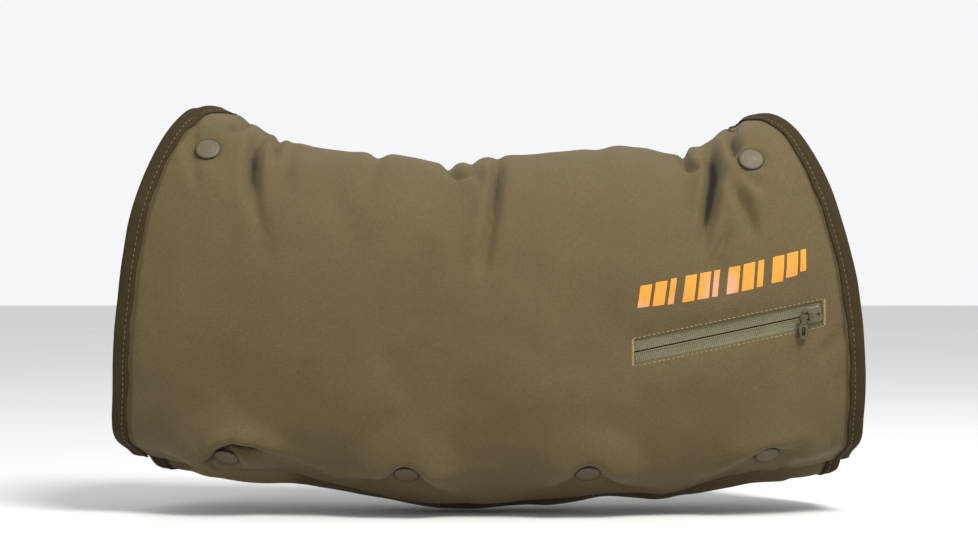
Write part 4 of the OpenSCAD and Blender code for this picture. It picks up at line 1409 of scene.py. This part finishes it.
def cap_parts(place, back):
    b = basis(*place)
    v, f = lathe(caps_profile + [(6.7, 0.3), (2.1, 0.3), (2.1, -back), (0, -back)], 96)
    f = [q[::-1] for q in f]
    rv, rf = lathe([(6.72, 0.3), (6.72, 0.93)] + rim_profile[1:] + [(6.72, 0.06), (6.72, 0.3)], 96)
    return (placed(v, b), f), (placed(rv, b), [q[::-1] for q in rf])


def caps(name, places, back, node):
    tops, rims = [], []
    for p in places:
        a, b = cap_parts(p, back)
        tops.append(a)
        rims.append(b)
    v, f, _ = join_parts(tops)
    o = put(name, v, f, CAPMAT, None, sharp=50)
    v, f, _ = join_parts(rims)
    # the rims get the painted shade
    r = put(name + "_rims", v, f, RIM_SHADE, None, sharp=50)
    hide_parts(node)
    for piece in (o, r):
        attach(piece, nodes[node]["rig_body"])
    return o


row_caps = caps("row_caps", ROW, HEM_T + 0.85, "bottom_snap_caps")
corner_caps = caps("corner_caps", CORNER, 6.1 + 0.85, "corner_snap_caps")


# ---------------------------------------------------------------- the print: slanted bars in a rising band
def band(a, b):
    """A place of the print, a along it and b across it in mm, as (u, t)."""
    u = 0.397 + 0.502 * a / 104.0
    tc = 0.437 + 0.085 * a / 104.0
    return u, tc + b / 36.0


def bar(a0, a1, b0, b1, lean, cut=None):
    """One slanted bar. lean is how far its top stands to the right of its foot."""
    na, nb = max(3, int((a1 - a0) / 0.7)), max(4, int((b1 - b0) / 0.7))
    A, B = np.meshgrid(np.linspace(0, 1, na), np.linspace(0, 1, nb), indexing="ij")
    a = mix(a0, a1, A) + lean * B
    b = mix(b0, b1, B) + (cut or 0.0) * (A - 0.5) * B
    u, t = band(a, b)
    d = relief(u, t)
    low = layer_point(u, t, np.full_like(u, -0.05), 1.0, d)
    edge = np.minimum(np.minimum(A, 1 - A) * (a1 - a0), np.minimum(B, 1 - B) * (b1 - b0))
    top = layer_point(u, t, -(0.09 + 0.11 * sm(0, 0.6, edge)), 1.0, d)
    return slab(top, low, np.stack([a / 100, b / 100], -1))


bars = []
for k in range(12):
    at = 1.0 + 8.5 * k
    foot = float(np.interp(at, [0, 20, 60, 80, 104], [-6.6, -7.2, -7.0, -6.0, -2.0]))
    head = float(np.interp(at, [0, 20, 60, 104], [4.8, 6.4, 7.3, 7.8]))
    bars.append(bar(at, at + (6.6 if k % 3 < 2 else 3.4), foot, head, 0.25 * (head - foot)))
v, f, uv = join_parts(bars)
ink = put("print_bars", v, f, INK, uv, sharp=60)

# ---------------------------------------------------------------- pocket bag
ub, tbg = np.meshgrid(np.linspace(0.345, 0.90, 60), np.linspace(-1.25, 0.45, 48), indexing="ij")
crease = 0.16 * waves(surf(ub, tbg)[..., 0], arc(tbg), 31, [26, 14], [0.6, 0.3])
a = surf(ub, tbg) - (7.65 + crease)[..., None] * outward(ub, tbg)
b = surf(ub, tbg) - (8.0 + crease)[..., None] * outward(ub, tbg)
v, f, uv = slab(a, b, cloth_uv(ub, tbg))
bag = put("pocket_cloth_bag", v, f, POCKET, uv)

# ---------------------------------------------------------------- bodies, hidden CAD parts and materials
blended = [shell_front, lining_front, padding_front, facing_front]
for o in blended:
    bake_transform(o)
for label in ("left", "right"):
    for o in bind["front_" + label]:
        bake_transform(o)
    for o in bind["back_" + label]:
        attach(o, "back_panel")
for o in (shell_back, lining_back, padding_back, facing_back):
    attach(o, "back_panel")
for o in (tape_upper, tape_lower, zip_stitch, bartacks, ink, bag):
    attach(o, "front_panel")
for o in (slider, slider_hole, slider_rim):
    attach(o, "slider")

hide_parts("front_shell")
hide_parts("back_shell")
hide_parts("front_lining")
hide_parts("back_lining")
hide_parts("front_insulation")
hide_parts("back_insulation")
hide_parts("front_binding_left")
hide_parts("front_binding_right")
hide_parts("back_binding_left")
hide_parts("back_binding_right")
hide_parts("zip_tape_upper")
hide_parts("zip_tape_lower")
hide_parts("pocket_bag")
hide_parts("zip_slider")

for name, mat in {"bottom_snap_sockets": STEEL, "bottom_snap_springs": BRASS, "bottom_snap_studs": STEEL, "bottom_snap_posts": CAPMAT,
                  "corner_snap_sockets": STEEL, "corner_snap_springs": BRASS, "corner_snap_studs": STEEL, "corner_snap_posts": CAPMAT,
                  "zip_coil_upper": COIL, "zip_coil_lower": COIL, "zip_top_stops": SLIDER, "zip_bottom_stop": SLIDER,
                  "zip_pull_link": TAB, "zip_pull_tab": TAB}.items():
    o = nodes[name]
    o.data.materials.clear()
    o.data.materials.append(mat)


# ---------------------------------------------------------------- stage, light and camera
lo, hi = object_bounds()
scene = bpy.context.scene
floor_z = float(lo.z) - 0.0006
fm = Mat("floor_paper", 0.9, spec=0.1)
fm.colour(fm.ramp(fm.noise(fm.coord("Object"), 3.0, 2), [(0.3, (0.66, 0.66, 0.655, 1)), (0.7, (0.68, 0.68, 0.675, 1))]))
me = bpy.data.meshes.new("floor")
me.from_pydata([(-9, -9, floor_z), (9, -9, floor_z), (9, 9, floor_z), (-9, 9, floor_z)], [], [[0, 1, 2, 3]])
me.materials.append(fm.m)
floor = bpy.data.objects.new("floor", me)
scene.collection.objects.link(floor)

world = bpy.data.worlds.new("studio")
world.use_nodes = True
world.node_tree.nodes["Background"].inputs[0].default_value = (0.97, 0.985, 1.0, 1)
world.node_tree.nodes["Background"].inputs[1].default_value = 0.94
scene.world = world


def area(name, at, target, size, power, colour=(1, 1, 1)):
    l = bpy.data.lights.new(name, "AREA")
    l.shape, l.size, l.energy, l.color = "DISK", size, power, colour
    o = bpy.data.objects.new(name, l)
    o.location = at
    o.rotation_euler = (Vector(target) - Vector(at)).to_track_quat("-Z", "Y").to_euler()
    scene.collection.objects.link(o)
    return o


area("key", (0.60, -0.92, 1.42), (0.03, 0, 0.02), 0.7, 41, (1.0, 0.975, 0.94))

cam = bpy.data.cameras.new("camera")
cam.lens, cam.sensor_width, cam.clip_start, cam.clip_end = 85, 36, 0.05, 60
camera = bpy.data.objects.new("camera", cam)
camera.location = (0, CAM_Y * MM, CAM_Z * MM)
camera.rotation_euler = (math.radians(90), 0, 0)
scene.collection.objects.link(camera)
scene.camera = camera
scene.view_settings.view_transform = "Standard"
